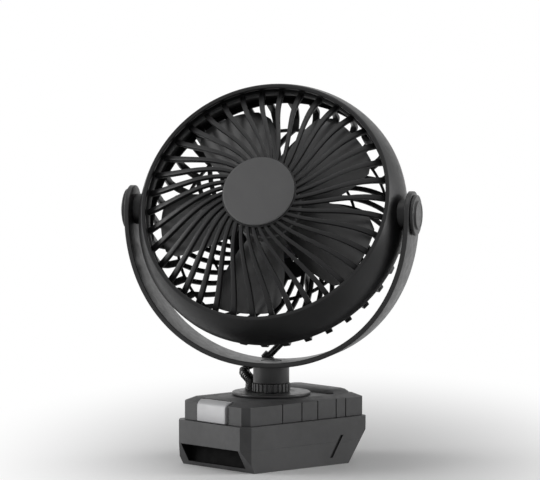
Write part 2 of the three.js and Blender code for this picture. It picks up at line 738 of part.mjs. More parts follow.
// The lead's clip sits behind the lowest part of the bow.
function leadClip() {
  const grip = aimed(rod(leadRadius + gap + clipWall, -clipLength / 2, clipLength / 2, 20),
    clipPoint, clipDirection);
  const foot = block(
    [clipPoint[0] - clipFoot / 2, halfBand + gap, bowInner - yokeThickness + 1],
    [clipPoint[0] + clipFoot / 2, clipPoint[1] - 1, bowInner + 1]);
  const bore = aimed(rod(leadRadius + gap, -clipLength, clipLength, 20),
    clipPoint, clipDirection);
  return cut(union(grip, foot), bore);
}

// Point on the lead's line through the clip.
const nearClip = (distance) => clipPoint.map((p, i) => p + clipDirection[i] * distance);

place(yoke, 'lead_clip', leadClip(), 'shellPlastic');
place(yoke, 'lead_upper',
  tube([...overBow(leadUpperRoute), nearClip(-4), nearClip(-gap / 2)], leadRadius, 4), 'rubber');
place(yoke, 'lead_lower', tube([nearClip(gap / 2), nearClip(4), ...overBow(leadLowerRoute),
  [...baseGland, plateTop + 2 * gap + glandHeight]], leadRadius, 3), 'rubber');

// ================================================================ fan head

const head = new THREE.Group();
head.position.z = pivotHeight;
head.rotation.x = radians(90 - tilt);
yoke.add(head);

const lipRadius = bellyRadius - lipTaper;
const shellRearRadius = bellyRadius - rearTaper;
const rearRimRadius = shellRearRadius - rearRibInset;
const lugCircle = shellRearRadius - lugInset;
const spokeInner = hubRadius - spokeRoot;
const spokeOuter = lipRadius - spokeInset;

// Outer radius of the shell at a place between belly and lip.
function skinRadius(place) {
  const share = (place - bellyPlace) / (lipFront - bellyPlace);
  return bellyRadius - (bellyRadius - lipRadius) * share ** bellyPower;
}

const skinPlaces = [0, 0.36, 0.67, 0.93]
  .map((share) => bellyPlace + share * (lipFront - bellyPlace));

function frontShell() {
  const outer = skinPlaces.map((z) => [skinRadius(z), z]);
  const inner = [skinPlaces[2], skinPlaces[0]].map((z) => [skinRadius(z) - shellWall, z]);
  const wall = ring([
    [shellRearRadius, shellRear], ...outer, [lipRadius - 0.9, lipFront],
    [lipRadius - lipBead, lipFront - 0.9], [lipRadius - lipBead, lipFront - 3], ...inner,
    [shellRearRadius - shellWall, shellRear],
  ], 72);
  const pivotBosses = [-1, 1].map((side) => alongX(
    rod(pivotBossRadius, bellyRadius - shellWall - 1.5, armInner - 2 * gap, 32), side));
  const pivotBores = [-1, 1].map((side) => alongX(
    rod(bushBore, armInner - gap - pivotScrewDepth, yokeHalfWidth, 20), side));
  const lugs = lugAngles.map((angle) => union(
    rod(lugRadius, shellRear, shellRear + lugHeight, 16).translate(lugCircle, 0, 0),
    block([lugCircle, -2, shellRear],
      [bellyRadius - shellWall + 0.5, 2, shellRear + lugHeight]))
    .rotateZ(radians(angle)));
  const lugBores = lugAngles.map((angle) => rod(
    caseScrewRadius + gap, shellRear - 1, shellRear + caseScrewReach + 1, 12)
    .translate(lugCircle, 0, 0).rotateZ(radians(angle)));
  return cut(union(wall, ...pivotBosses, ...lugs), ...pivotBores, ...lugBores);
}

const hubRingTop = hubFace - hubThickness - gap;

// One spoke of the front grille, swirling out and falling to the rim.
function spoke() {
  const rings = Array.from({ length: spokeStations }, (_, i) => {
    const share = (i / (spokeStations - 1)) ** 1.3;
    const radius = spokeInner + (spokeOuter - spokeInner) * share;
    const middle = spokeRimPlace
      + (hubRingTop - hubRingHeight / 2 - spokeRimPlace) * (1 - share ** spokePower);
    const half = (spokeHubWidth + (spokeRimWidth - spokeHubWidth) * share) / 2;
    const turn = spokeSwirl * (1 - (1 - share) ** spokeBend);
    return [[-half, -1], [half, -1], [half, 1], [-half, 1]].map(([across, level]) => {
      const [x, y] = rotated([radius, across], turn);
      return [x, y, middle + level * spokeDepth / 2];
    });
  });
  return loft(rings);
}

function frontGrille() {
  const hubRingOuter = hubRadius + hubRingOverhang;
  const hubRing = washer(hubRingOuter - hubRingWidth, hubRingOuter,
    hubRingTop - hubRingHeight, hubRingTop, spokeCount);
  const rimRing = washer(lipRadius - rimRingInset, lipRadius + rimRingOutset,
    spokeRimPlace - rimRingHeight / 2, spokeRimPlace + rimRingHeight / 2, 2 * spokeCount);
  const spokes = Array.from({ length: spokeCount },
    (_, i) => spoke().rotateZ(i * 2 * Math.PI / spokeCount));
  return union(hubRing, rimRing, ...spokes);
}

const hubCap = () => turned([
  [0, hubFace - hubThickness], [hubRadius - 0.6, hubFace - hubThickness],
  [hubRadius, hubFace - hubThickness + 0.6], [hubRadius, hubFace - 0.9],
  [hubRadius - 0.9, hubFace], [0, hubFace],
], 48);

// Flat back of the rear grille: swirling ribs and rings are left standing between windows.
function rearWheel() {
  const edge = rearRings.at(-1) + rearRingWidth;
  const shareAt = (radius) => (radius - rearPlateRadius) / (edge - rearPlateRadius);
  const corner = (radius, rib, side) => {
    const width = rearRibRoot + (rearRibWidth - rearRibRoot) * shareAt(radius);
    const turn = rib * 360 / rearRibCount + rearSwirl * shareAt(radius);
    return rotated([radius, side * width / 2], turn);
  };
  const windows = rearRings.flatMap((outer, band) => {
    const inner = band === 0 ? rearPlateRadius : rearRings[band - 1] + rearRingWidth;
    return Array.from({ length: rearRibCount }, (_, i) => upward([
      corner(inner, i, 1), corner(outer, i, 1), corner(outer, i + 1, -1),
      corner(inner, i + 1, -1),
    ], rearBack - 1, rearBack + rearRibDepth + 1));
  });
  return cut(rod(edge, rearBack, rearBack + rearRibDepth, rearRibCount), ...windows);
}

// Outer end of one rear rib, from the wheel's edge round the corner to the rim.
function rearCornerRib() {
  const rim = rearRimRadius + 0.6;
  const rimMiddle = shellRear - gap - rearRimDepth / 2;
  const start = rearRings.at(-1) + rearRingWidth / 2;
  return backward([
    [rim, rimMiddle], [rim, rearCorner], [rim - 5, rearCorner - 5.5],
    [start, rearBack], [start, rearBack + rearRibDepth], [rim - 6, rearCorner - 2.6],
    [rim - rearRibDepth, rimMiddle],
  ], -rearRibWidth / 2, rearRibWidth / 2);
}

function rearGrille() {
  const rimFront = shellRear - gap;
  const rim = washer(rearRimRadius - rearRimWall, shellRearRadius - rearRimInset,
    rimFront - rearRimDepth, rimFront, 2 * rearRibCount);
  const ribs = Array.from({ length: rearRibCount },
    (_, i) => rearCornerRib().rotateZ(radians(rearSwirl + i * 360 / rearRibCount)));
  const lugs = lugAngles.map((angle) => rod(lugRadius, rimFront - rearLugDepth, rimFront, 16)
    .translate(lugCircle, 0, 0).rotateZ(radians(angle)));
  const holes = lugAngles.map((angle) => rod(
    caseScrewRadius + gap, rearBack - 5, shellRear + 1, 12)
    .translate(lugCircle, 0, 0).rotateZ(radians(angle)));
  const leadHole = rod(glandRadius / 2, rearBack - 1, rearBack + rearRibDepth + 1, 12)
    .translate(...headGland, 0);
  return cut(union(rearWheel(), rim, ...ribs, ...lugs), ...holes, leadHole);
}

place(head, 'front_shell', frontShell(), 'shellPlastic');
place(head, 'front_grille', frontGrille(), 'shellPlastic');
place(head, 'hub_cap', hubCap(), 'hubPlastic');
place(head, 'rear_grille', rearGrille(), 'shellPlastic');

const caseScrewSeat = shellRear - gap - rearLugDepth;
lugAngles.forEach((angle, i) => place(head, `case_screw_${i + 1}`,
  screw(caseScrewSeat - gap - smallHeadHeight, shellRear + caseScrewReach)
    .translate(...rotated([lugCircle, 0], angle), 0), 'zinc'));

for (const [name, side] of [['left', -1], ['right', 1]]) {
  const tipX = armInner - gap - pivotScrewDepth + gap;
  const seat = yokeHalfWidth + gap;
  place(head, `pivot_screw_${name}`, alongX(turned([
    [0, tipX], [pivotScrewRadius, tipX], [pivotScrewRadius, seat], [screwHeadRadius, seat],
    [screwHeadRadius, seat + screwHeadHeight], [0, seat + screwHeadHeight],
  ], 24), side), 'zinc');
}

place(head, 'lead_gland_head', washer(glandRadius / 2, glandRadius,
  rearBack - gap - glandHeight, rearBack - gap, 20), 'rubber', [...headGland, 0]);

// ================================================================ motor and rotor

const motorRear = rearBack + rearRibDepth + gap;
const motorFront = motorRear + motorLength;
const bearingSeat = motorFront - bearingWidth - gap;
const rotorHubRear = motorFront + rotorClearance;
const rotorHubFront = rotorHubRear + rotorHubHeight;
const bladePlace = rotorHubRear + bladeRise;
const bladeTip = lipRadius - bladeClearance;

place(head, 'motor_can', turned([
  [0, motorRear], [motorRadius, motorRear], [motorRadius, motorFront],
  [bearingRadius + gap, motorFront], [bearingRadius + gap, bearingSeat],
  [shaftRadius + gap, bearingSeat], [shaftRadius + gap, shaftRear - gap], [0, shaftRear - gap],
], 32), 'steel');
place(head, 'motor_bearing', washer(shaftRadius + gap, bearingRadius,
  bearingSeat + gap, motorFront, 20), 'steel');
place(head, 'motor_shaft', rod(shaftRadius, shaftRear,
  rotorHubFront + shaftEnd, 16), 'steel');

// One blade, lofted outwards through its chord sections.
function blade() {
  const root = rotorHubRadius - rotorHubWall / 2;
  const rings = bladeStations.map(([share, sweep, reach]) => {
    const radius = root + (bladeTip - root) * share;
    const face = (level) => Array.from({ length: bladeChordSteps + 1 }, (_, i) => {
      const chord = i / bladeChordSteps;
      const [x, y] = rotated([radius, 0], (chord - 0.5) * sweep);
      const camber = bladeCamber * Math.sin(Math.PI * chord);
      return [x, y, bladePlace + (chord - 0.5) * reach + camber + level];
    });
    return [...face(-bladeThickness / 2), ...face(bladeThickness / 2).reverse()];
  });
  return loft(rings);
}

function fanRotor() {
  const [rear, front, wall] = [rotorHubRear, rotorHubFront, rotorHubWall];
  const hub = ring([
    [shaftRadius + gap, rear], [shaftRadius + 3, rear], [shaftRadius + 3, front - wall],
    [rotorHubRadius - wall, front - wall], [rotorHubRadius - wall, rear],
    [rotorHubRadius, rear], [rotorHubRadius, front - 1.5], [rotorHubRadius - 1.5, front],
    [shaftRadius + gap, front],
  ], 40);
  const blades = Array.from({ length: bladeCount },
    (_, i) => blade().rotateZ(radians(bladeTurn + i * 360 / bladeCount)));
  return union(hub, ...blades);
}

place(head, 'fan_rotor', fanRotor(), 'bladePlastic');
place(head, 'rotor_nut', cut(
  upward(circle(6, rotorNutRadius), rotorHubFront + gap, rotorHubFront + gap + rotorNutHeight),
  rod(shaftRadius + gap, rotorHubFront, rotorHubFront + 6, 16)), 'brass');

// ================================================================ whole fan

const fan = new THREE.Group();
fan.add(pack, base);

export default fan;
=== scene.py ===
import json
import math

import bmesh
import bpy
from mathutils import Matrix, Vector


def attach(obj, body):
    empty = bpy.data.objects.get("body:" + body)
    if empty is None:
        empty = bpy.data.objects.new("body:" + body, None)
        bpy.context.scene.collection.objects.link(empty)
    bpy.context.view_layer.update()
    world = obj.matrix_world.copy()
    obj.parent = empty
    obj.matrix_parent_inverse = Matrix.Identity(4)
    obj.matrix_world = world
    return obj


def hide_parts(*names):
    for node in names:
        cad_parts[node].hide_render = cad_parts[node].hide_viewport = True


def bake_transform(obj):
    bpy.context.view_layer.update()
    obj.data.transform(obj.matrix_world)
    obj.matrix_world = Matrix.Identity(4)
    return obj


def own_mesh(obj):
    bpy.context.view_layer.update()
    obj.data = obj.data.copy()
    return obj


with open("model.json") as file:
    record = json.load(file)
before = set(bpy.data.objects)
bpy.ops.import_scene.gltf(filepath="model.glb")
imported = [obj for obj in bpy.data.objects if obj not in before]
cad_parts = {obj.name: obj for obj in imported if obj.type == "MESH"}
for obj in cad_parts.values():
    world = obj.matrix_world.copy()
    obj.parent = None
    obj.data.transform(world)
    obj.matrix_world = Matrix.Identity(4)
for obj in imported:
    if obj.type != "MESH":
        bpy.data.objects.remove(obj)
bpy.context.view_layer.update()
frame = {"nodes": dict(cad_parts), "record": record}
NODES = frame["nodes"]

# ------------------------------------------------------------------ frames
# Shapes are written in millimetres; settle() places them and scales them to metres. BASE stands on the
# floor with its Y axis along the pack, YOKE is turned about the neck, and HEAD has its middle on the
# pivots and its Z axis out of the fan's front.

SWIVEL = math.radians(33)
TILT = math.radians(27)
PIVOT = 180.0
MM = Matrix.Scale(0.001, 4)
BASE = MM
YOKE = MM @ Matrix.Rotation(SWIVEL, 4, "Z")
HEAD = YOKE @ Matrix.Translation((0, 0, PIVOT)) @ Matrix.Rotation(math.pi / 2 - TILT, 4, "X")


# ------------------------------------------------------------------ node materials

class Nodes:
    """A material's node tree, with short calls for the nodes that the finishes share."""

    def __init__(self, name):
        self.material = bpy.data.materials.new(name)
        self.material.use_nodes = True
        self.tree = self.material.node_tree
        self.shader = self.tree.nodes["Principled BSDF"]
        self.place = self.add("ShaderNodeTexCoord").outputs["Object"]

    def add(self, kind, **settings):
        node = self.tree.nodes.new(kind)
        for key, value in settings.items():
            setattr(node, key, value)
        return node

    def link(self, a, b):
        self.tree.links.new(a, b)

    def stretched(self, scale):
        node = self.add("ShaderNodeMapping")
        node.inputs["Scale"].default_value = scale
        self.link(self.place, node.inputs["Vector"])
        return node.outputs["Vector"]

    def noise(self, scale, detail=3.0, rough=0.5, vector=None):
        node = self.add("ShaderNodeTexNoise")
        node.inputs["Scale"].default_value = scale
        node.inputs["Detail"].default_value = detail
        node.inputs["Roughness"].default_value = rough
        self.link(vector or self.place, node.inputs["Vector"])
        return node.outputs["Fac"]

    def cells(self, scale):
        node = self.add("ShaderNodeTexVoronoi")
        node.inputs["Scale"].default_value = scale
        self.link(self.place, node.inputs["Vector"])
        return node.outputs["Distance"]

    def spread(self, value, low, high, a=0.3, b=0.7):
        """A texture value between a and b, spread over low to high."""
        node = self.add("ShaderNodeMapRange")
        for key, number in (("From Min", a), ("From Max", b), ("To Min", low), ("To Max", high)):
            node.inputs[key].default_value = number
        self.link(value, node.inputs["Value"])
        return node.outputs["Result"]

    def mixed(self, factor, first, second):
        node = self.add("ShaderNodeMix", data_type="RGBA")
        node.inputs["A"].default_value = (*first, 1)
        node.inputs["B"].default_value = (*second, 1)
        self.link(factor, node.inputs["Factor"])
        return node.outputs["Result"]

    def bump(self, height, depth, strength=1.0, under=None):
        node = self.add("ShaderNodeBump")
        node.inputs["Distance"].default_value = depth
        node.inputs["Strength"].default_value = strength
        self.link(height, node.inputs["Height"])
        if under is not None:
            self.link(under, node.inputs["Normal"])
        return node.outputs["Normal"]


def shade(color, amount):
    return tuple(min(1.0, c * amount) for c in color)


def moulded(name, color, rough, grain=0.00004, grain_scale=2600, spread=0.16, sheen=0.5,
            handling=1.0):
    """Moulded plastic: fine spark-eroded grain, slow drift in colour, faint handling marks."""
    n = Nodes(name)
    drift = n.spread(n.noise(38, 4), 0, 1, 0.35, 0.65)
    n.link(n.mixed(drift, shade(color, 1 - spread), shade(color, 1 + spread)),
           n.shader.inputs["Base Color"])
    marks = n.spread(n.noise(210, 6, 0.65), rough - 0.07 * handling, rough + 0.09 * handling)
    n.link(marks, n.shader.inputs["Roughness"])
    flow = n.bump(n.noise(90, 2), 0.00012 * handling, 0.25)
    n.link(n.bump(n.noise(grain_scale, 2), grain, 1.0, flow), n.shader.inputs["Normal"])
    n.shader.inputs["Specular IOR Level"].default_value = sheen
    return n.material


def metal(name, color, rough, lines=(900, 900, 60)):
    n = Nodes(name)
    drift = n.spread(n.noise(120, 4), 0, 1)
    n.link(n.mixed(drift, shade(color, 0.85), shade(color, 1.1)), n.shader.inputs["Base Color"])
    brushed = n.noise(3, 5, 0.6, n.stretched(lines))
    n.link(n.spread(brushed, rough - 0.08, rough + 0.12), n.shader.inputs["Roughness"])
    n.link(n.bump(brushed, 0.00003, 0.6), n.shader.inputs["Normal"])
    n.shader.inputs["Metallic"].default_value = 1.0
    return n.material


def rubbery(name, color, rough):
    n = Nodes(name)
    drift = n.spread(n.noise(160, 4), 0, 1)
    n.link(n.mixed(drift, shade(color, 0.7), shade(color, 1.4)), n.shader.inputs["Base Color"])
    n.link(n.spread(n.noise(420, 5), rough - 0.06, rough + 0.1), n.shader.inputs["Roughness"])
    n.link(n.bump(n.noise(1500, 3), 0.00003, 0.7), n.shader.inputs["Normal"])
    return n.material


def circuit_board(name):
    n = Nodes(name)
    tracks = n.spread(n.cells(420), 0, 1, 0.1, 0.16)
    n.link(n.mixed(tracks, (0.03, 0.16, 0.07), (0.012, 0.075, 0.03)), n.shader.inputs["Base Color"])
    n.link(n.spread(n.noise(300), 0.3, 0.5), n.shader.inputs["Roughness"])
    n.link(n.bump(tracks, 0.00004, 0.8), n.shader.inputs["Normal"])
    return n.material


def cell_sleeve(name):
    """Shrink sleeve on a cell: faint creases round the ends and a satin film."""
    n = Nodes(name)
    creases = n.noise(4, 4, 0.6, n.stretched((30, 500, 500)))
    n.link(n.mixed(n.spread(creases, 0, 1), (0.03, 0.14, 0.26), (0.05, 0.2, 0.36)),
           n.shader.inputs["Base Color"])
    n.link(n.spread(n.noise(200), 0.28, 0.42), n.shader.inputs["Roughness"])
    n.link(n.bump(creases, 0.00008, 0.5), n.shader.inputs["Normal"])
    return n.material


FINISH = {
    "shell_plastic": moulded("satin_black", (0.012, 0.012, 0.0125), 0.36, sheen=0.24),
    "spoke_plastic": moulded("spoke_black", (0.010, 0.010, 0.0105), 0.45, sheen=0.3),
    "yoke_plastic": moulded("yoke_black", (0.018, 0.018, 0.0185), 0.36, sheen=0.35),
    "adapter_plastic": moulded("adapter_grey", (0.052, 0.052, 0.053), 0.5, 0.00006, 1900, sheen=0.35),
    "pack_plastic": moulded("pack_grey", (0.052, 0.052, 0.053), 0.5, 0.00006, 1900, sheen=0.35),
    "hub_plastic": moulded("hub_grey", (0.135, 0.135, 0.136), 0.6, 0.00003, 3000, 0.05, sheen=0.3),
    "button_plastic": moulded("button_grey", (0.40, 0.40, 0.41), 0.35, 0.00003, 2400, 0.06),
    "blade_plastic": moulded("blade_grey", (0.070, 0.070, 0.071), 0.30, 0.00002, 2200, 0.05, 0.6, 0.2),
    "rubber": rubbery("lead_rubber", (0.012, 0.012, 0.012), 0.25),
    "nylon": moulded("natural_nylon", (0.62, 0.6, 0.53), 0.45, 0.00003, 2000, 0.06),
    "zinc": metal("zinc_plate", (0.55, 0.56, 0.58), 0.3),
    "steel": metal("ground_steel", (0.5, 0.5, 0.52), 0.25),
    "motor_case": metal("drawn_can", (0.6, 0.6, 0.62), 0.32, (60, 60, 900)),
    "brass": metal("bright_brass", (0.72, 0.52, 0.2), 0.24),
    "board": circuit_board("solder_resist"),
    "cell_wrap": cell_sleeve("cell_sleeve"),
    # Near black, used as painted shade inside the finger pocket.
    "pocket_painted_shade": moulded("recess_painted_shade", (0.003, 0.003, 0.003), 0.8, sheen=0.1),
}


# ------------------------------------------------------------------ mesh making

def smooth(obj, angle=32):
    for face in obj.data.polygons:
        face.use_smooth = True
    obj.data.set_sharp_from_angle(angle=math.radians(angle))


SEAM_REACH = 0.3


def edge_round(obj, width, segments, angle, keep):
    """Rounded edges; keep is the height of a seam whose edges stay crisp, or None."""
    mod = obj.modifiers.new("edge", "BEVEL")
    mod.width = width * 0.001
    mod.segments = segments
    mod.limit_method = "ANGLE" if keep is None else "WEIGHT"
    mod.angle_limit = math.radians(angle)
    if keep is not None:
        work = bmesh.new()
        work.from_mesh(obj.data)
        weight = work.edges.layers.float.new("bevel_weight_edge")
        for edge in work.edges:
            seam = all(abs(v.co.z * 1000 - keep) < SEAM_REACH for v in edge.verts)
            if not seam and edge.calc_face_angle(0) > math.radians(angle):
                edge[weight] = 1
        work.to_mesh(obj.data)
        work.free()
    mod.use_clamp_overlap = True
    mod.harden_normals = True


def mesh_object(name, verts, faces):
    """An object in millimetres, not yet placed."""
    mesh = bpy.data.meshes.new(name)
    mesh.from_pydata(verts, [], faces)
    mesh.validate()
    obj = bpy.data.objects.new(name, mesh)
    bpy.context.scene.collection.objects.link(obj)
    work = bmesh.new()
    work.from_mesh(mesh)
    bmesh.ops.remove_doubles(work, verts=work.verts, dist=1e-5)
    bmesh.ops.recalc_face_normals(work, faces=work.faces)
    work.to_mesh(mesh)
    work.free()
    return obj


def settle(obj, matrix, body, slot, replaces=(), finish=None, angle=32, edge=0, segments=3,
           keep=None):
    """Places a made shape, gives it a finish, and lets it ride on its body."""
    obj.data.transform(matrix)
    obj.data.materials.clear()
    obj.data.materials.append(FINISH[finish or slot])
    if edge:
        edge_round(obj, edge, segments, angle, keep)
    smooth(obj, angle)
    if body:
        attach(obj, body)
    if replaces:
        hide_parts(*replaces)
    return obj


def carve(obj, *tools, operation="DIFFERENCE"):
    """obj cut by, or joined with, the tools, which are used up."""
    for tool in tools:
        mod = obj.modifiers.new("carve", "BOOLEAN")
        mod.operation = operation
        mod.solver = "EXACT"
        mod.object = tool
    graph = bpy.context.evaluated_depsgraph_get()
    carved = bpy.data.meshes.new_from_object(obj.evaluated_get(graph))
    obj.modifiers.clear()
    obj.data = carved
    for tool in tools:
        bpy.data.objects.remove(tool)
    return obj


def fillet(points, steps=4):
    """Points (x, y) or (x, y, radius); corners with a radius are rounded. Open line."""
    out = []
    for i, point in enumerate(points):
        if len(point) < 3 or i in (0, len(points) - 1):
            out.append(point[:2])
            continue
        p = Vector(point[:2])
        a = Vector(points[i - 1][:2]) - p
        b = Vector(points[i + 1][:2]) - p
        half = a.angle(b) / 2
        reach = min(point[2] / math.tan(half), a.length * 0.49, b.length * 0.49)
        p0, p1 = p + a.normalized() * reach, p + b.normalized() * reach
        for k in range(steps + 1):
            t = k / steps
            q = p0 * (1 - t) ** 2 + p * 2 * t * (1 - t) + p1 * t ** 2
            out.append((q.x, q.y))
    return out


def closed_fillet(points, steps=4):
    """The same as fillet() for a closed outline."""
    ring = [points[-1], *points, points[0]]
    return fillet(ring, steps)[1:-1]


def lathe(name, profile, segments=96, closed=False):
    """Profile (r, z) turned about Z; it starts and ends on the axis, or is closed."""
    verts, rings = [], []
    for r, z in profile:
        if r < 1e-6:
            rings.append([len(verts)] * segments)
            verts.append((0, 0, z))
            continue
        rings.append(list(range(len(verts), len(verts) + segments)))
        for k in range(segments):
            a = 2 * math.pi * k / segments
            verts.append((r * math.cos(a), r * math.sin(a), z))
    faces = []
    for low, high in zip(rings, rings[1:] + (rings[:1] if closed else [])):
        for k in range(segments):
            j = (k + 1) % segments
            face = list(dict.fromkeys((low[k], low[j], high[j], high[k])))
            if len(face) > 2:
                faces.append(face)
    return mesh_object(name, verts, faces)


def walls(rings, count, start=0):
    """Faces between so many rings of count points each, numbered from start."""
    faces = []
    for k in range(rings - 1):
        low = start + k * count
        for i in range(count):
            j = (i + 1) % count
            faces.append((low + i, low + j, low + count + j, low + count + i))
    return faces


def loft(name, rings):
    """Rings of 3-D points with equal counts, skinned, with flat ends."""
    count = len(rings[0])
    verts = [p for ring in rings for p in ring]
    last = len(verts) - count
    ends = [tuple(reversed(range(count))), tuple(range(last, last + count))]
    return mesh_object(name, verts, walls(len(rings), count) + ends)


def prism(name, outline, z0, z1):
    return loft(name, [[(x, y, z) for x, y in outline] for z in (z0, z1)])


def box(name, low, high):
    (x0, y0, z0), (x1, y1, z1) = low, high
    return prism(name, [(x0, y0), (x1, y0), (x1, y1), (x0, y1)], z0, z1)


def moved(obj, matrix):
    obj.data.transform(matrix)
    return obj


def bore(radius, z0, z1, x=0, y=0):
    """Cutter for a round hole along Z."""
    return moved(lathe("bore", [(0, z0), (radius, z0), (radius, z1), (0, z1)], 12),
                 Matrix.Translation((x, y, 0)))


def joined(name, objs):
    """Several shapes as one object, without a boolean."""
    verts, faces = [], []
    for obj in objs:
        start = len(verts)
        verts += [tuple(v.co) for v in obj.data.vertices]
        faces += [tuple(start + i for i in f.vertices) for f in obj.data.polygons]
        bpy.data.objects.remove(obj)
    return mesh_object(name, verts, faces)


def section(width, depth, corner, steps):
    """Rounded rectangle, centred."""
    w, d = width / 2, depth / 2
    return closed_fillet([(-w, -d, corner), (w, -d, corner), (w, d, corner), (-w, d, corner)],
                         steps)


SLEEVE_RIDGE, SLEEVE_GROOVE = 1.55, 1.3


def tube(name, points, radius, sides, steps=10, sleeve=None):
    """Round tube along a smooth line; sleeve is the share where a ribbed sleeve starts."""
    pts = [Vector(p) for p in points]
    line = []
    for i in range(len(pts) - 1):
        p0 = pts[max(i - 1, 0)]
        p1, p2 = pts[i], pts[i + 1]
        p3 = pts[min(i + 2, len(pts) - 1)]
        for k in range(steps):
            t = k / steps
            line.append(0.5 * ((2 * p1) + (p2 - p0) * t + (2 * p0 - 5 * p1 + 4 * p2 - p3) * t ** 2
                               + (3 * p1 - p0 - 3 * p2 + p3) * t ** 3))
    line.append(pts[-1])
    rings = []
    side = None
    for i, p in enumerate(line):
        ahead = (line[min(i + 1, len(line) - 1)] - line[max(i - 1, 0)]).normalized()
        if side is None:
            side = ahead.orthogonal().normalized()
        side = (side - ahead * side.dot(ahead)).normalized()
        up = ahead.cross(side)
        here = radius
        if sleeve and i > sleeve * len(line):
            here = radius * (SLEEVE_RIDGE if i % 4 < 2 else SLEEVE_GROOVE)
        rings.append([p + here * (side * math.cos(2 * math.pi * k / sides)
                                  + up * math.sin(2 * math.pi * k / sides))
                      for k in range(sides)])
    return loft(name, rings)


def about_x(side):
    """Turns +Z to +X or -X."""
    return Matrix.Rotation(side * math.pi / 2, 4, "Y")


def polar(r, degrees):
    a = math.radians(degrees)
    return r * math.cos(a), r * math.sin(a)


def swung(r, across, a):
    """The point at radius r and so far across it, turned by a about Z."""
    return r * math.cos(a) - across * math.sin(a), r * math.sin(a) + across * math.cos(a)


# ------------------------------------------------------------------ fan head

BELLY, BELLY_AT = 97.5, -4
SHELL_BACK, SHELL_FRONT = -14, 20.5
SHELL_WALL = 2.2
HUB_FACE = 39.5
HUB_THICK = 1.8
HUB_RING_TOP = HUB_FACE - HUB_THICK - 0.3
REAR_BACK = -36.0
PIVOT_PAD, PIVOT_PAD_TOP = 11, 100.4
LUGS = (45, 135, 225, 315)
LUG_CIRCLE = 88
LUG_HOLE, LUG_OUT, LUG_TOP = 1.6, 4.4, -4
CORD_X, CORD_Y = 12, -22


def skin(z):
    """Outer radius of the head's shell at a place along its axis."""
    if z < BELLY_AT:
        return BELLY - ((BELLY_AT - z) / 10) ** 1.6
    return BELLY - 7 * ((z - BELLY_AT) / (SHELL_FRONT - BELLY_AT)) ** 1.8


def lug_place(angle):
    return Matrix.Rotation(math.radians(angle), 4, "Z") @ Matrix.Translation((LUG_CIRCLE, 0, 0))


def front_shell():
    outer = [(skin(-12 + i * 2.2), -12 + i * 2.2) for i in range(14)]
    inner = [(skin(16.4 - i * 3.4) - SHELL_WALL, 16.4 - i * 3.4) for i in range(8)]
    wall = lathe("fan_head_shell", closed_fillet([
        (96.5, SHELL_BACK, 0.4), *outer, (90.5, SHELL_FRONT, 1.1), (87.7, SHELL_FRONT, 0.8),
        (87.7, 17.5, 0.4), *inner, (94.3, SHELL_BACK, 0.4)]), 160, closed=True)
    settle(wall, HEAD, "head", "shell_plastic", ["front_shell"])
    for side in (-1, 1):
        boss = lathe(f"pivot_boss_{'left' if side < 0 else 'right'}", fillet([
            (3.2, 94), (3.2, PIVOT_PAD_TOP, 0.4), (PIVOT_PAD, PIVOT_PAD_TOP, 0.8),
            (PIVOT_PAD, 94)]), 48, closed=True)
        settle(moved(boss, about_x(side)), HEAD, "head", "shell_plastic")
    lugs = []
    for angle in LUGS:
        lug = lathe("lug", closed_fillet([
            (LUG_HOLE, SHELL_BACK), (LUG_OUT, SHELL_BACK, 0.4), (LUG_OUT, LUG_TOP, 0.6),
            (LUG_HOLE, LUG_TOP)]), 24, closed=True)
        web = box("web", (0, -1.8, SHELL_BACK), (6.6, 1.8, LUG_TOP))
        lugs += [moved(shape, lug_place(angle)) for shape in (lug, web)]
    settle(joined("shell_screw_lugs", lugs), HEAD, "head", "shell_plastic")


SPOKES = 38
SPOKE_SWIRL = 900 / SPOKES
SPOKE_ROOT, SPOKE_RUN = 24, 64.5
SPOKE_DEPTH = 3.4
SPOKE_LOW = 10.2
SPOKE_RISE = HUB_RING_TOP - 2 - SPOKE_LOW
ARCH = 1.9


def spoke_rings(stations=16):
    """One spoke: it swirls out from the hub and arches down to the rim."""
    rings = []
    for i in range(stations):
        t = (i / (stations - 1)) ** 1.3
        radius = SPOKE_ROOT + SPOKE_RUN * t
        middle = SPOKE_LOW + SPOKE_RISE * (1 - t ** ARCH)
        turn = math.radians(SPOKE_SWIRL * (1 - (1 - t) ** 2.2))
        lean = math.atan(-ARCH * SPOKE_RISE * t ** (ARCH - 1) / SPOKE_RUN)
        ring = []
        for across, level in section(2.4 + 1.6 * t, SPOKE_DEPTH, 0.6, 2):
            x, y = swung(radius - level * math.sin(lean), across, turn)
            ring.append((x, y, middle + level * math.cos(lean)))
        rings.append(ring)
    return rings


def front_grille():
    spoke = spoke_rings()
    verts, faces = [], []
    for k in range(SPOKES):
        turn = Matrix.Rotation(2 * math.pi * k / SPOKES, 4, "Z")
        faces += walls(len(spoke), len(spoke[0]), len(verts))
        verts += [tuple(turn @ Vector(p)) for ring in spoke for p in ring]
    spokes = mesh_object("spokes", verts, faces)
    hub = lathe("hub", closed_fillet([
        (18, HUB_RING_TOP - 4, 0.3), (27, HUB_RING_TOP - 4, 0.3), (27, HUB_RING_TOP, 0.5),
        (18, HUB_RING_TOP, 0.3)]), 76, closed=True)
    rim = lathe("rim", closed_fillet([
        (87, 8, 0.4), (91.3, 8, 0.4), (91.3, 12.4, 0.4), (87, 12.4, 0.6)]), 152, closed=True)
    settle(joined("front_spokes", [spokes, hub, rim]), HEAD, "head", "shell_plastic",
           ["front_grille"], finish="spoke_plastic", angle=40)


def hub_disc():
    base = HUB_FACE - HUB_THICK
    disc = lathe("hub_disc", fillet([
        (0, base), (25.9, base, 0.4), (25.9, HUB_FACE - 0.1, 0.7), (24.6, HUB_FACE),
        (0, HUB_FACE)], 5), 96)
    settle(disc, HEAD, "head", "hub_plastic", ["hub_cap"])


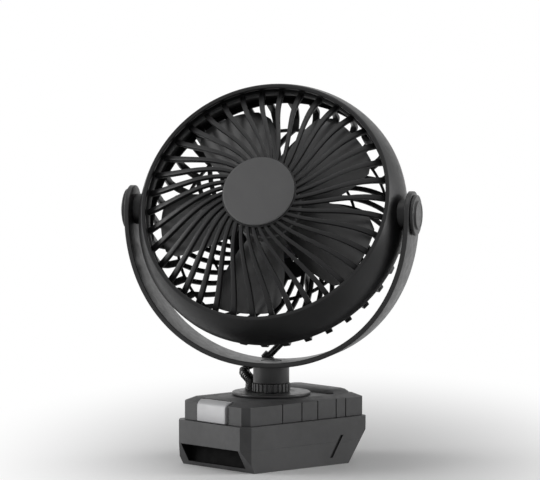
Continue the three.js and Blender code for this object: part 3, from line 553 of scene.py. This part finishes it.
REAR_RIBS = 36
REAR_RINGS = (53, 77)
REAR_SWIRL = -30.0
RIM_BACK = -17.5
RIM_SEAT = -14.3
RIB_DEPTH = 2.4
RIB_LEVEL = -34.8
PLATE_EDGE = 39


def rear_rib(steps=14):
    """One rib: it swirls out over the flat back, then turns the corner to the rim."""
    rings = []
    for i in range(steps + 1):
        radius = PLATE_EDGE - 2 + 42 * (i / steps)
        share = (radius - PLATE_EDGE) / 40
        turn = math.radians(REAR_SWIRL * share)
        rings.append([(*swung(radius, across, turn), RIB_LEVEL + level)
                      for across, level in section(3.4 + 1.6 * share, RIB_DEPTH, 0.5, 2)])
    line = fillet([(80, RIB_LEVEL), (86.6, -33.2, 4), (91.6, -28, 4), (91.6, -15.1)], 5)
    turn = math.radians(REAR_SWIRL)
    for i, (r, z) in enumerate(line):
        before, after = line[max(i - 1, 0)], line[min(i + 1, len(line) - 1)]
        way = Vector((after[0] - before[0], after[1] - before[1])).normalized()
        rings.append([(*swung(r - way.y * level, across, turn), z + way.x * level)
                      for across, level in section(5, RIB_DEPTH, 0.5, 2)])
    return loft("rib", rings)


def rear_grille():
    parts = []
    for k in range(REAR_RIBS):
        parts.append(moved(rear_rib(), Matrix.Rotation(2 * math.pi * k / REAR_RIBS, 4, "Z")))
    inside = REAR_BACK + RIB_DEPTH
    for r in REAR_RINGS:
        parts.append(lathe("ring", closed_fillet([
            (r, REAR_BACK, 0.4), (r + 2, REAR_BACK, 0.4), (r + 2, inside, 0.4), (r, inside, 0.4)]),
            144, closed=True))
    parts.append(lathe("rim", closed_fillet([
        (91, -15.9, 0.4), (95.6, -15.9, 0.4), (95.6, RIM_SEAT, 0.3), (91, RIM_SEAT, 0.3)]),
        144, closed=True))
    plate = lathe("plate", fillet([
        (0, REAR_BACK + 0.5), (21, REAR_BACK + 0.5), (22, REAR_BACK, 0.3),
        (PLATE_EDGE, REAR_BACK, 0.6), (PLATE_EDGE, inside, 0.4), (0, inside)]), 96)
    hole = moved(prism("hole", [polar(2.4, 20 * i) for i in range(18)], -40, -30),
                 Matrix.Translation((CORD_X, CORD_Y, 0)))
    parts.append(carve(plate, hole))
    for angle in LUGS:
        lug = lathe("lug", closed_fillet([
            (LUG_HOLE, RIM_BACK, 0.2), (LUG_OUT, RIM_BACK, 0.4), (LUG_OUT, RIM_SEAT, 0.2),
            (LUG_HOLE, RIM_SEAT)]), 24, closed=True)
        parts.append(moved(lug, lug_place(angle)))
    settle(joined("rear_cage", parts), HEAD, "head", "shell_plastic", ["rear_grille"],
           edge=0.35, segments=2)


SCREW_HEAD, SCREW_RISE, SCREW_SHANK = 2.7, 1.4, 1.3
CROSS_LONG, CROSS_HALF = SCREW_HEAD * 0.58, 0.42


def screw(name, length):
    """Pan-head screw, head up, seat at z 0, with a cross recess."""
    body = lathe(name, fillet([
        (0, -length), (SCREW_SHANK, -length + 0.6), (SCREW_SHANK, 0), (SCREW_HEAD, 0, 0.2),
        (SCREW_HEAD, SCREW_RISE, SCREW_RISE * 0.7), (0, SCREW_RISE)], 5), 40)
    floor, top = SCREW_RISE * 0.35, SCREW_RISE + 1
    arms = [box("arm", (-x, -y, floor), (x, y, top))
            for x, y in ((CROSS_LONG, CROSS_HALF), (CROSS_HALF, CROSS_LONG))]
    return carve(body, *arms)


def case_screws():
    for i, angle in enumerate(LUGS):
        s = screw(f"cage_screw_{i + 1}", 9.8)
        moved(s, lug_place(angle) @ Matrix.Translation((0, 0, RIM_BACK - 0.3))
              @ Matrix.Rotation(math.pi, 4, "X"))
        settle(s, HEAD, "head", "zinc", [f"case_screw_{i + 1}"])


BLADE_COUNT = 5
BLADE_ROOT, BLADE_RUN = 24, 56
BLADE_SHARES = (0, 0.1, 0.2, 0.34, 0.45, 0.58, 0.7, 0.8, 0.9, 0.94, 0.97, 1)
# Share of the way out, sweep in degrees, and rise from one edge to the other.
BLADE_PLAN = ((0, 68, 16), (0.2, 64, 17), (0.45, 57, 17), (0.7, 49, 16), (0.9, 42, 13), (1, 30, 8))
ROTOR_TURN = 47.0


def blade_at(t):
    """The blade's sweep and rise at a share of the way out."""
    for a, b in zip(BLADE_PLAN, BLADE_PLAN[1:]):
        if t <= b[0]:
            k = (t - a[0]) / (b[0] - a[0])
            return [p + (q - p) * k for p, q in zip(a[1:], b[1:])]


def blade(steps=14):
    """One blade: thin curved strips from the hub to the tip."""
    rings = []
    for share in BLADE_SHARES:
        sweep, rise = blade_at(share)
        under, over = [], []
        for i in range(steps + 1):
            chord = i / steps
            x, y = polar(BLADE_ROOT + BLADE_RUN * share, (chord - 0.5) * sweep)
            lift = 2 + (chord - 0.5) * rise + 2.2 * math.sin(math.pi * chord)
            half = 0.75 * (1 - abs(2 * chord - 1) ** 6) + 0.02
            under.append((x, y, lift - half))
            over.append((x, y, lift + half))
        rings.append(under + over[::-1])
    return loft("blade", rings)


def rotor():
    hub = lathe("hub", closed_fillet([
        (2.3, -8), (5, -8, 0.2), (5, 9, 0.2), (23, 9, 1), (23, -8, 0.2), (25, -8, 0.3),
        (25, 11, 2.2), (2.3, 11, 0.3)], 5), 96, closed=True)
    blades = [moved(blade(), Matrix.Rotation(math.radians(360 / BLADE_COUNT * k), 4, "Z"))
              for k in range(BLADE_COUNT)]
    turned = moved(joined("fan_blades", [hub, *blades]),
                   Matrix.Rotation(math.radians(ROTOR_TURN), 4, "Z"))
    settle(turned, HEAD, "rotor", "blade_plastic", ["fan_rotor"], angle=40)


GLAND_LENGTH = 3.4


def ribbed_gland(name, length, matrix, body, node):
    """Strain relief: a ribbed sleeve round the lead."""
    hole, foot = 2.62, 0.9
    profile = [(hole, 0), (4.4, 0, 0.3), (4.4, foot, 0.2)]
    rise = (length - foot) / 3
    for i in range(3):
        z = foot + i * rise
        profile += [(3.5, z + 0.15, 0.1), (3.5, z + rise * 0.45, 0.1),
                    (4.0, z + rise * 0.55, 0.15), (4.0, z + rise * 0.95, 0.15)]
    profile += [(3.4, length, 0.2), (hole, length)]
    settle(lathe(name, closed_fillet(profile, 3), 40, closed=True), matrix, body, "rubber", [node])


front_shell()
front_grille()
hub_disc()
rear_grille()
case_screws()
rotor()
head_gland = HEAD @ Matrix.Translation((CORD_X, CORD_Y, REAR_BACK - 0.3))
ribbed_gland("head_strain_relief", GLAND_LENGTH, head_gland @ Matrix.Rotation(math.pi, 4, "X"),
             "head", "lead_gland_head")


# ------------------------------------------------------------------ yoke

BOW_OUT = (104.6, 110.2)
BOW_IN = (101.0, 106.6)
BOW_POWER = 2 / 2.15
BOW_STEPS = 110
BAND_HALF = 17
NECK_FOOT, NECK_TOP, NECK_OUT = 57.8, 72, 12.9
BOLT_HOLE = 4.3


def bow(axes, angle):
    """Place (x, z) on the bow, a slightly squared half ellipse hanging from the pivots."""
    half, drop = axes
    c, s = math.cos(angle), math.sin(angle)
    x = half * abs(c) ** BOW_POWER * (1 if c >= 0 else -1)
    return x, PIVOT - drop * max(s, 0) ** BOW_POWER


def band_rings():
    """The yoke's band as sections: one round arm end, the bow, and the other arm end."""
    rings = []
    ends = [math.radians(a) for a in (87, 80, 70, 60, 50, 40, 30, 20, 10)]
    stations = [("arm", 1, a) for a in ends]
    stations += [("bow", 0, math.pi * i / BOW_STEPS) for i in range(BOW_STEPS + 1)]
    stations += [("arm", -1, a) for a in reversed(ends)]
    for kind, side, a in stations:
        if kind == "arm":
            half, z = BAND_HALF * math.cos(a), PIVOT + BAND_HALF * math.sin(a)
            low, high = Vector((side * BOW_IN[0], z)), Vector((side * BOW_OUT[0], z))
        else:
            half = BAND_HALF
            low, high = Vector(bow(BOW_IN, a)), Vector(bow(BOW_OUT, a))
        thick = (high - low).length
        way = (high - low).normalized()
        ring = []
        for across, level in section(2 * half, thick, min(0.9, half * 0.8), 3):
            p = low + way * (level + thick / 2)
            ring.append((p.x, across, p.y))
        rings.append(ring)
    return rings


def yoke():
    band = loft("yoke_bow", band_rings())
    neck = lathe("neck", fillet([
        (0, NECK_FOOT), (NECK_OUT, NECK_FOOT, 0.5), (NECK_OUT, NECK_TOP), (0, NECK_TOP)]), 96)
    pocket = lathe("pocket", [(0, 62.3), (7.5, 62.3), (7.5, 80), (0, 80)], 48)
    carve(band, neck, operation="UNION")
    carve(band, pocket, bore(BOLT_HOLE, NECK_FOOT - 1, 63))
    for side in (-1, 1):
        carve(band, moved(bore(5.3, 96, 109.6), Matrix.Translation((0, 0, PIVOT)) @ about_x(side)))
    settle(band, YOKE, "yoke", "shell_plastic", ["yoke"], finish="yoke_plastic")
    plug = lathe("bow_plug", fillet([(0, 70.1), (7.15, 70.1, 0.3), (7.15, 73.2, 0.5), (4, 73.25),
                                     (0, 73.25)]), 64)
    settle(plug, YOKE, "yoke", "shell_plastic", ["yoke_plug"])


CAP_SEAT, CAP_STEP, CAP_OUT = 104.9, 107.3, 14.5


def pivot_caps():
    """Round covers over the pivots, each with a raised middle."""
    for name, side in (("left", -1), ("right", 1)):
        cap = lathe(f"pivot_cover_{name}", fillet([
            (0, CAP_SEAT), (CAP_OUT, CAP_SEAT, 0.3), (CAP_OUT, CAP_STEP, 1.0), (10.6, CAP_STEP, 0.3),
            (10.2, 108.6, 0.5), (8.8, 108.6, 0.2), (8.6, 108.35, 0.2), (0, 108.35)], 5), 96)
        carve(cap, bore(6.5, CAP_SEAT - 1, 107.2))
        place = YOKE @ Matrix.Translation((0, 0, PIVOT)) @ about_x(side)
        settle(cap, place, "yoke", "shell_plastic", [f"pivot_cap_{name}"], finish="yoke_plastic")


LEAD_UPPER = ((12, 25.9, 142), (12, 34.5, 137.6), (12.8, 48, 130), (13, 54.5, 119),
              (12.5, 49, 108), (10.8, 36.5, 98), (5.5, 26.4, 88.6), (-1.5, 23.3, 81))
LEAD_LOWER = ((-16.4, 20.6, 68.6), (-22.8, 17.6, 66.2), (-23.6, 13.6, 63), (-20.8, 11, 60.6),
              (-18.4, 9.7, 58.4), (-17.8, 9.5, 56.9), (-17.8, 9.5, 55.5))
CLIP = Vector((-8.4, 21.8, 73.5))
CLIP_WAY = Vector((-0.66, -0.15, -0.735))
LEAD_RADIUS, LEAD_SIDES = 2.5, 20


def leads():
    """The lead's two stretches, which meet in the clip on the yoke."""
    points = [*LEAD_UPPER, CLIP - CLIP_WAY * 4, CLIP - CLIP_WAY * 0.15]
    upper = settle(tube("lead_to_head", points, LEAD_RADIUS, LEAD_SIDES), YOKE, None, "rubber",
                   ["lead_upper"])
    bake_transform(upper)
    points = [CLIP + CLIP_WAY * 0.15, CLIP + CLIP_WAY * 4, *LEAD_LOWER]
    lower = settle(tube("lead_to_base", points, LEAD_RADIUS, LEAD_SIDES, sleeve=0.42), YOKE, None,
                   "rubber", ["lead_lower"])
    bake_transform(lower)


yoke()
pivot_caps()
leads()


# ------------------------------------------------------------------ adapter

SHOULDER = 46.4
CROWN = 49.2
FOOT = 33.3
ADAPTER_HALF, ADAPTER_NOSE, ADAPTER_TAIL = 34.9, -55.4, 58.4
ADAPTER_CORNERS = (4.6, 2.3)
ADAPTER_WALL = 2.4
SHOULDER_SLOPE = 5.4
FLUTES = (-20.4, -2, 13.2, 30.9, 40.1)
FLUTE_DEPTH, FLUTE_HALF = 0.7, 0.45
KNOB_AT = (12, ADAPTER_TAIL, 39.85)
DISC_FOOT, DISC_TOP, DISC_OUT = 49.5, 51.5, 28


def plan(half_x, y0, y1, near, far):
    """A rectangle with its corners cut off, by one measure at y0 and another at y1."""
    return [(-half_x, y0 + near), (-half_x + near, y0), (half_x - near, y0), (half_x, y0 + near),
            (half_x, y1 - far), (half_x - far, y1), (-half_x + far, y1), (-half_x, y1 - far)]


def at(outline, z):
    return [(x, y, z) for x, y in outline]


def toothed(count, corners):
    """Outline with so many teeth; corners gives one tooth's degrees and radii."""
    return [polar(r, 360 / count * k + turn) for k in range(count) for turn, r in corners]


def adapter_cover():
    body = loft("adapter_housing", [
        at(plan(ADAPTER_HALF - inset, ADAPTER_NOSE + inset, ADAPTER_TAIL - inset,
                *ADAPTER_CORNERS), z)
        for inset, z in ((0, FOOT), (0, SHOULDER), (SHOULDER_SLOPE, CROWN))])
    hump = loft("hump", [at(plan(29.1 - inset, 30.4 + inset, ADAPTER_TAIL - 5.8 - inset, 3, 3), z)
                         for inset, z in ((0, CROWN - 1), (1.1, CROWN + 0.8),
                                          (2.7, CROWN + 2.3), (4.8, CROWN + 3.1))])
    carve(body, hump, operation="UNION")
    inside = ADAPTER_HALF - ADAPTER_WALL
    hollow = box("hollow", (-inside, ADAPTER_NOSE + ADAPTER_WALL, FOOT - 1),
                 (inside, ADAPTER_TAIL - ADAPTER_WALL, SHOULDER - 1.2))
    mouth = box("mouth", (-16.3, -58, FOOT - 2), (16.3, -49, CROWN + 2))
    flutes = [box("flute", (side * ADAPTER_HALF - FLUTE_DEPTH, y - FLUTE_HALF, FOOT - 1),
                  (side * ADAPTER_HALF + FLUTE_DEPTH, y + FLUTE_HALF, SHOULDER + 0.2))
              for y in FLUTES for side in (-1, 1)]
    knob_hole = moved(lathe("knob_hole", [(0, -6), (2.7, -6), (2.7, 6), (0, 6)], 24),
                      Matrix.Translation(KNOB_AT) @ Matrix.Rotation(math.pi / 2, 4, "X"))
    nut_room = bore(9.6, 44, 46.8)
    bolt_hole = bore(BOLT_HOLE, 46, CROWN + 1)
    carve(body, hollow, mouth, *flutes, knob_hole, nut_room, bolt_hole)
    settle(body, BASE, "base", "adapter_plastic", ["adapter_cover"], edge=0.45)


def swivel_parts():
    """The disc on the adapter and the ribbed grip between it and the neck's foot."""
    dish = DISC_TOP - 0.25
    plate = lathe("swivel_disc", closed_fillet([
        (BOLT_HOLE, DISC_FOOT), (DISC_OUT, DISC_FOOT, 0.4), (DISC_OUT, DISC_TOP, 0.7),
        (17, DISC_TOP, 0.2), (16.7, dish, 0.2), (BOLT_HOLE, dish)]), 120, closed=True)
    # The disc takes the near-black yoke finish, not the adapter's grey: painted shade for the dark
    # ring round the neck's foot.
    settle(plate, BASE, "base", "adapter_plastic", ["swivel_plate"], finish="yoke_plastic")
    tooth = ((-4.8, 12.75), (-3.9, 13.6), (3.9, 13.6), (4.8, 12.75))
    collar = prism("swivel_grip", toothed(24, tooth), 51.8, 57.5)
    carve(collar, bore(BOLT_HOLE, 51, 58.5))
    settle(collar, BASE, "base", "adapter_plastic", ["swivel_collar"], edge=0.25, segments=2)


def speed_knob():
    """A ribbed dial with a sunk face, a pointer groove and a stem."""
    tooth = ((-8, 4.85), (-5, 5.3), (5, 5.3), (8, 4.85))
    grip = prism("knob", toothed(16, tooth), 0.3, 6.8)
    face = lathe("face", [(0, 6.5), (4.2, 6.5), (3.9, 8), (0, 8)], 32)
    mark = box("mark", (-0.4, 1.5, 6.1), (0.4, 6.2, 8))
    carve(grip, face, mark)
    stem = lathe("stem", [(0, -2.4), (2.4, -2.4), (2.4, 1), (0, 1)], 24)
    place = Matrix.Translation(KNOB_AT) @ Matrix.Rotation(-math.pi / 2, 4, "X")
    settle(moved(joined("speed_dial", [grip, stem]), place), BASE, "knob", "shell_plastic",
           ["speed_knob"], edge=0.2, segments=2)


def adapter_screws():
    places = [(x, y) for x in (-27, 27) for y in (-45, 48)]
    for i, (x, y) in enumerate(places, 1):
        s = screw(f"floor_screw_{i}", 7.7)
        moved(s, Matrix.Translation((x, y, 34.7)) @ Matrix.Rotation(math.pi, 4, "X"))
        settle(s, BASE, "base", "zinc", [f"adapter_screw_{i}"])


adapter_cover()
swivel_parts()
speed_knob()
adapter_screws()
gland_at = Matrix.Rotation(SWIVEL, 4, "Z") @ Vector((*LEAD_LOWER[-1][:2], 51.8))
ribbed_gland("base_strain_relief", GLAND_LENGTH, BASE @ Matrix.Translation(gland_at), "base",
             "lead_gland_base")


# ------------------------------------------------------------------ battery pack

PACK_NOSE, PACK_TAIL, PACK_HALF, PACK_TOP = -59.0, 59.0, 38.5, 33
PACK_WALL = 2.4
SPLIT = 16.2
SEAM = 0.03
MARK_DEPTH = 1.6
FINGER_HALF, FINGER_DEPTH, FINGER_FLOOR = 30.5, 10.5, 3
# Wall of the thin sheet of painted shade inside the finger pocket.
SHADE_SHEET_WALL = 0.3
TONGUE_HALF, TONGUE_TOP = 15.7, 39.5
BUTTON_MIDDLE = -53.8


def pack_body(name, z0, z1):
    """The pack's block between two heights: side view crossed with plan."""
    side = [(PACK_NOSE, PACK_TOP), (PACK_NOSE, 16), (PACK_NOSE + 9, 0), (PACK_TAIL - 19.3, 0),
            (PACK_TAIL, 27), (PACK_TAIL, PACK_TOP)]
    block = loft(name, [[(x, y, z) for y, z in side] for x in (-PACK_HALF, PACK_HALF)])
    keep = prism("keep", plan(PACK_HALF, PACK_NOSE, PACK_TAIL, 5.8, 2.9), z0, z1)
    return carve(block, keep, operation="INTERSECT")


def slant_mark():
    """Cutter for the slanted groove in the side, across the seam."""
    return loft("slant", [
        [(x, 21.6, 5.2), (x, 24.3, 5.2), (x, 34.6, 20.8), (x, 31.9, 20.8)]
        for x in (PACK_HALF - MARK_DEPTH, PACK_HALF + 1)])


def pack_room():
    """Cutter for the room inside the pack: its far end slopes like the outside."""
    half, near = PACK_HALF - PACK_WALL, PACK_NOSE + 12.9
    levels = ((PACK_WALL, 38.3), (27, 55.9), (30.6, 55.9))
    return loft("pack_room", [
        [(-half, near, z), (half, near, z), (half, y, z), (-half, y, z)] for z, y in levels])


def finger_room(name, inset, front, top):
    """The finger pocket's block, so much smaller all round and so far out of the pack's nose."""
    half = FINGER_HALF - inset
    return box(name, (-half, PACK_NOSE - front, FINGER_FLOOR + inset),
               (half, PACK_NOSE + FINGER_DEPTH - inset, top))


def lower_case():
    body = pack_body("pack_lower", -1, SPLIT - SEAM)
    carve(body, finger_room("pocket", 0, 2, SPLIT + 1), slant_mark(), pack_room())
    settle(body, BASE, "battery", "pack_plastic", ["battery_lower_case"], edge=0.45, keep=SPLIT)
    # A thin near-black sheet over the finger pocket's walls: painted shade for the dark inside of the
    # pocket.
    shade_sheet = finger_room("pocket_shade_sheet", SEAM, 1, SPLIT - 0.2)
    carve(shade_sheet, finger_room("room", SHADE_SHEET_WALL, 2, SPLIT - 0.45))
    carve(shade_sheet, pack_body("trim", -1, SPLIT), operation="INTERSECT")
    settle(shade_sheet, BASE, "battery", "pack_plastic", finish="pocket_painted_shade")


def upper_case():
    """The upper half with the tongue that the adapter slides onto."""
    body = pack_body("pack_upper", SPLIT + SEAM, PACK_TOP + 1)
    tongue = box("tongue", (-TONGUE_HALF, -49.6, 30), (TONGUE_HALF, 36, TONGUE_TOP))
    carve(body, tongue, operation="UNION")
    tools = [box("bed", (-15.5, -57.7, 28.9), (15.5, -49.9, 41))]
    for side in (-1, 1):
        x0, x1 = sorted((side * 14.5, side * 16.8))
        tools.append(box("groove", (x0, -51, 35.6), (x1, 38, 38.2)))
    for x in (-7, 7):
        tools.append(box("slot", (x - 0.75, 24, 35.1), (x + 0.75, 38, 41)))
    spring_room = bore(2.9, 20.2, PACK_TOP + 1, 0, BUTTON_MIDDLE)
    carve(body, slant_mark(), pack_room(), spring_room, *tools)
    settle(body, BASE, "battery", "pack_plastic", ["battery_upper_case"], edge=0.45, keep=SPLIT)


def release_button():
    face, back, foot, top = -57.4, -50.2, 33.3, 48.9
    side = [(face, foot), (back, foot), (back, top), (face + 3.4, top), (face + 1.2, top - 1.7),
            (face, top - 4.1)]
    body = loft("release_key", [[(x, y, z) for y, z in side] for x in (-15.2, 15.2)])
    settle(body, BASE, "button", "button_plastic", ["release_button"], edge=0.8, segments=4)


def button_spring():
    """Coil spring under the button."""
    turns, per_turn, wire, coil = 7, 16, 0.36, 2.2
    foot, top, middle = 20.3, 33.0, BUTTON_MIDDLE
    points = []
    for i in range(per_turn * turns + 1):
        a = 2 * math.pi * i / per_turn
        rise = (top - foot - 2 * wire) * i / (per_turn * turns)
        points.append((coil * math.cos(a), middle + coil * math.sin(a), foot + wire + rise))
    body = tube("coil_spring", points, wire, 10, steps=1)
    settle(body, BASE, "battery", "steel", ["button_spring"])
    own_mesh(body)


lower_case()
upper_case()
release_button()
button_spring()


# ------------------------------------------------------------------ carried-over CAD nodes

shown = {s["node"]: s["material_slot"] for s in frame["record"]["subparts"]}
for node, slot_name in shown.items():
    obj = NODES[node]
    obj.data.materials.clear()
    obj.data.materials.append(FINISH[slot_name])
    smooth(obj, 30)


# ------------------------------------------------------------------ camera, light, floor

VIEW_ROUND, VIEW_UP = math.radians(48.2), math.radians(5.2)
VIEW_AWAY = 4.0


def camera():
    """A long lens a little above the fan; returns the ways to the camera and to its right."""
    data = bpy.data.cameras.new("camera")
    data.lens = 374
    data.sensor_width = 36
    data.clip_start = 0.1
    data.clip_end = 50
    cam = bpy.data.objects.new("camera", data)
    bpy.context.scene.collection.objects.link(cam)
    level = math.cos(VIEW_UP)
    out = Vector((math.sin(VIEW_ROUND) * level, -math.cos(VIEW_ROUND) * level, math.sin(VIEW_UP)))
    right = Vector((math.cos(VIEW_ROUND), math.sin(VIEW_ROUND), 0))
    up = out.cross(right)
    target = Vector((0, 0, 0.135)) - 0.0009 * right + 0.0248 * up
    cam.location = target + VIEW_AWAY * out
    cam.rotation_euler = out.to_track_quat("Z", "Y").to_euler()
    bpy.context.scene.camera = cam
    return out, right


def area(name, place, aim, size, power):
    """A square soft box at a place, turned to what it lights."""
    data = bpy.data.lights.new(name, "AREA")
    data.energy = power
    data.shape = "RECTANGLE"
    data.size = size
    data.size_y = size
    light = bpy.data.objects.new(name, data)
    bpy.context.scene.collection.objects.link(light)
    light.location = place
    light.rotation_euler = (Vector(place) - Vector(aim)).to_track_quat("Z", "Y").to_euler()


def studio(out, right):
    """Soft boxes left, right, above and in front, as seen from the camera."""
    ahead = Vector((out.x, out.y, 0)).normalized()
    mid = Vector((0, 0, 0.15))
    top = Vector((0, 0, 1))
    area("left_box", mid - right * 1.4 - ahead * 0.04 + top * 0.25, mid, 0.8, 12)
    area("right_box", mid + right * 1.4 - ahead * 0.02 + top * 0.35, mid, 0.7, 10.5)
    area("top_box", mid + top * 1.5 + ahead * 0.25, mid, 1.2, 6)
    area("front_box", mid + ahead * 2.2 + top * 1.1, mid, 1.0, 1.2)


def white_where_seen(tree, shader, part=None):
    """Plain white, or a part of it, for rays from the camera, reflections and clear materials;
    all other rays meet the shader."""
    path = tree.nodes.new("ShaderNodeLightPath")
    seen = path.outputs["Is Camera Ray"]
    for kind in ("Is Glossy Ray", "Is Transmission Ray"):
        both = tree.nodes.new("ShaderNodeMath")
        both.operation = "MAXIMUM"
        tree.links.new(seen, both.inputs[0])
        tree.links.new(path.outputs[kind], both.inputs[1])
        seen = both.outputs[0]
    if part is not None:
        share = tree.nodes.new("ShaderNodeMath")
        share.operation = "MULTIPLY"
        tree.links.new(seen, share.inputs[0])
        tree.links.new(part, share.inputs[1])
        seen = share.outputs[0]
    white = tree.nodes.new("ShaderNodeEmission")
    white.inputs["Color"].default_value = (1, 1, 1, 1)
    mix = tree.nodes.new("ShaderNodeMixShader")
    tree.links.new(seen, mix.inputs["Fac"])
    tree.links.new(shader, mix.inputs[1])
    tree.links.new(white.outputs["Emission"], mix.inputs[2])
    return mix.outputs["Shader"]


def pale_floor():
    """A floor that fades to white away from the object and keeps its shadow."""
    n = Nodes("pale_floor")
    n.link(n.mixed(n.spread(n.noise(2), 0, 1), (0.80, 0.80, 0.80), (0.84, 0.84, 0.84)),
           n.shader.inputs["Base Color"])
    n.shader.inputs["Roughness"].default_value = 0.7
    n.shader.inputs["Specular IOR Level"].default_value = 0.2
    turned = n.add("ShaderNodeMapping", vector_type="TEXTURE")
    turned.inputs["Location"].default_value = (0.0233, 0.0261, 0)
    turned.inputs["Rotation"].default_value = (0, 0, VIEW_ROUND)
    turned.inputs["Scale"].default_value = (0.28, 0.62, 1)
    n.link(n.place, turned.inputs["Vector"])
    length = n.add("ShaderNodeVectorMath", operation="LENGTH")
    n.link(turned.outputs["Vector"], length.inputs[0])
    fade = n.add("ShaderNodeMapRange", interpolation_type="SMOOTHSTEP")
    for key, number in (("From Min", 0.15), ("From Max", 1.0), ("To Min", 0), ("To Max", 1)):
        fade.inputs[key].default_value = number
    n.link(length.outputs["Value"], fade.inputs["Value"])
    surface = white_where_seen(n.tree, n.shader.outputs["BSDF"], fade.outputs["Result"])
    n.link(surface, n.tree.nodes["Material Output"].inputs["Surface"])
    bpy.ops.mesh.primitive_plane_add(size=12, location=(0, 0, 0))
    floor = bpy.context.object
    floor.name = "floor"
    floor.data.materials.append(n.material)


def backdrop():
    """White where it is seen, and a dim grey light everywhere else."""
    sky = bpy.data.worlds.new("studio")
    bpy.context.scene.world = sky
    sky.use_nodes = True
    background = sky.node_tree.nodes["Background"]
    background.inputs["Color"].default_value = (0.10, 0.10, 0.10, 1)
    surface = white_where_seen(sky.node_tree, background.outputs["Background"])
    sky.node_tree.links.new(surface, sky.node_tree.nodes["World Output"].inputs["Surface"])


studio(*camera())
pale_floor()
backdrop()
bpy.context.scene.view_settings.view_transform = "Standard"
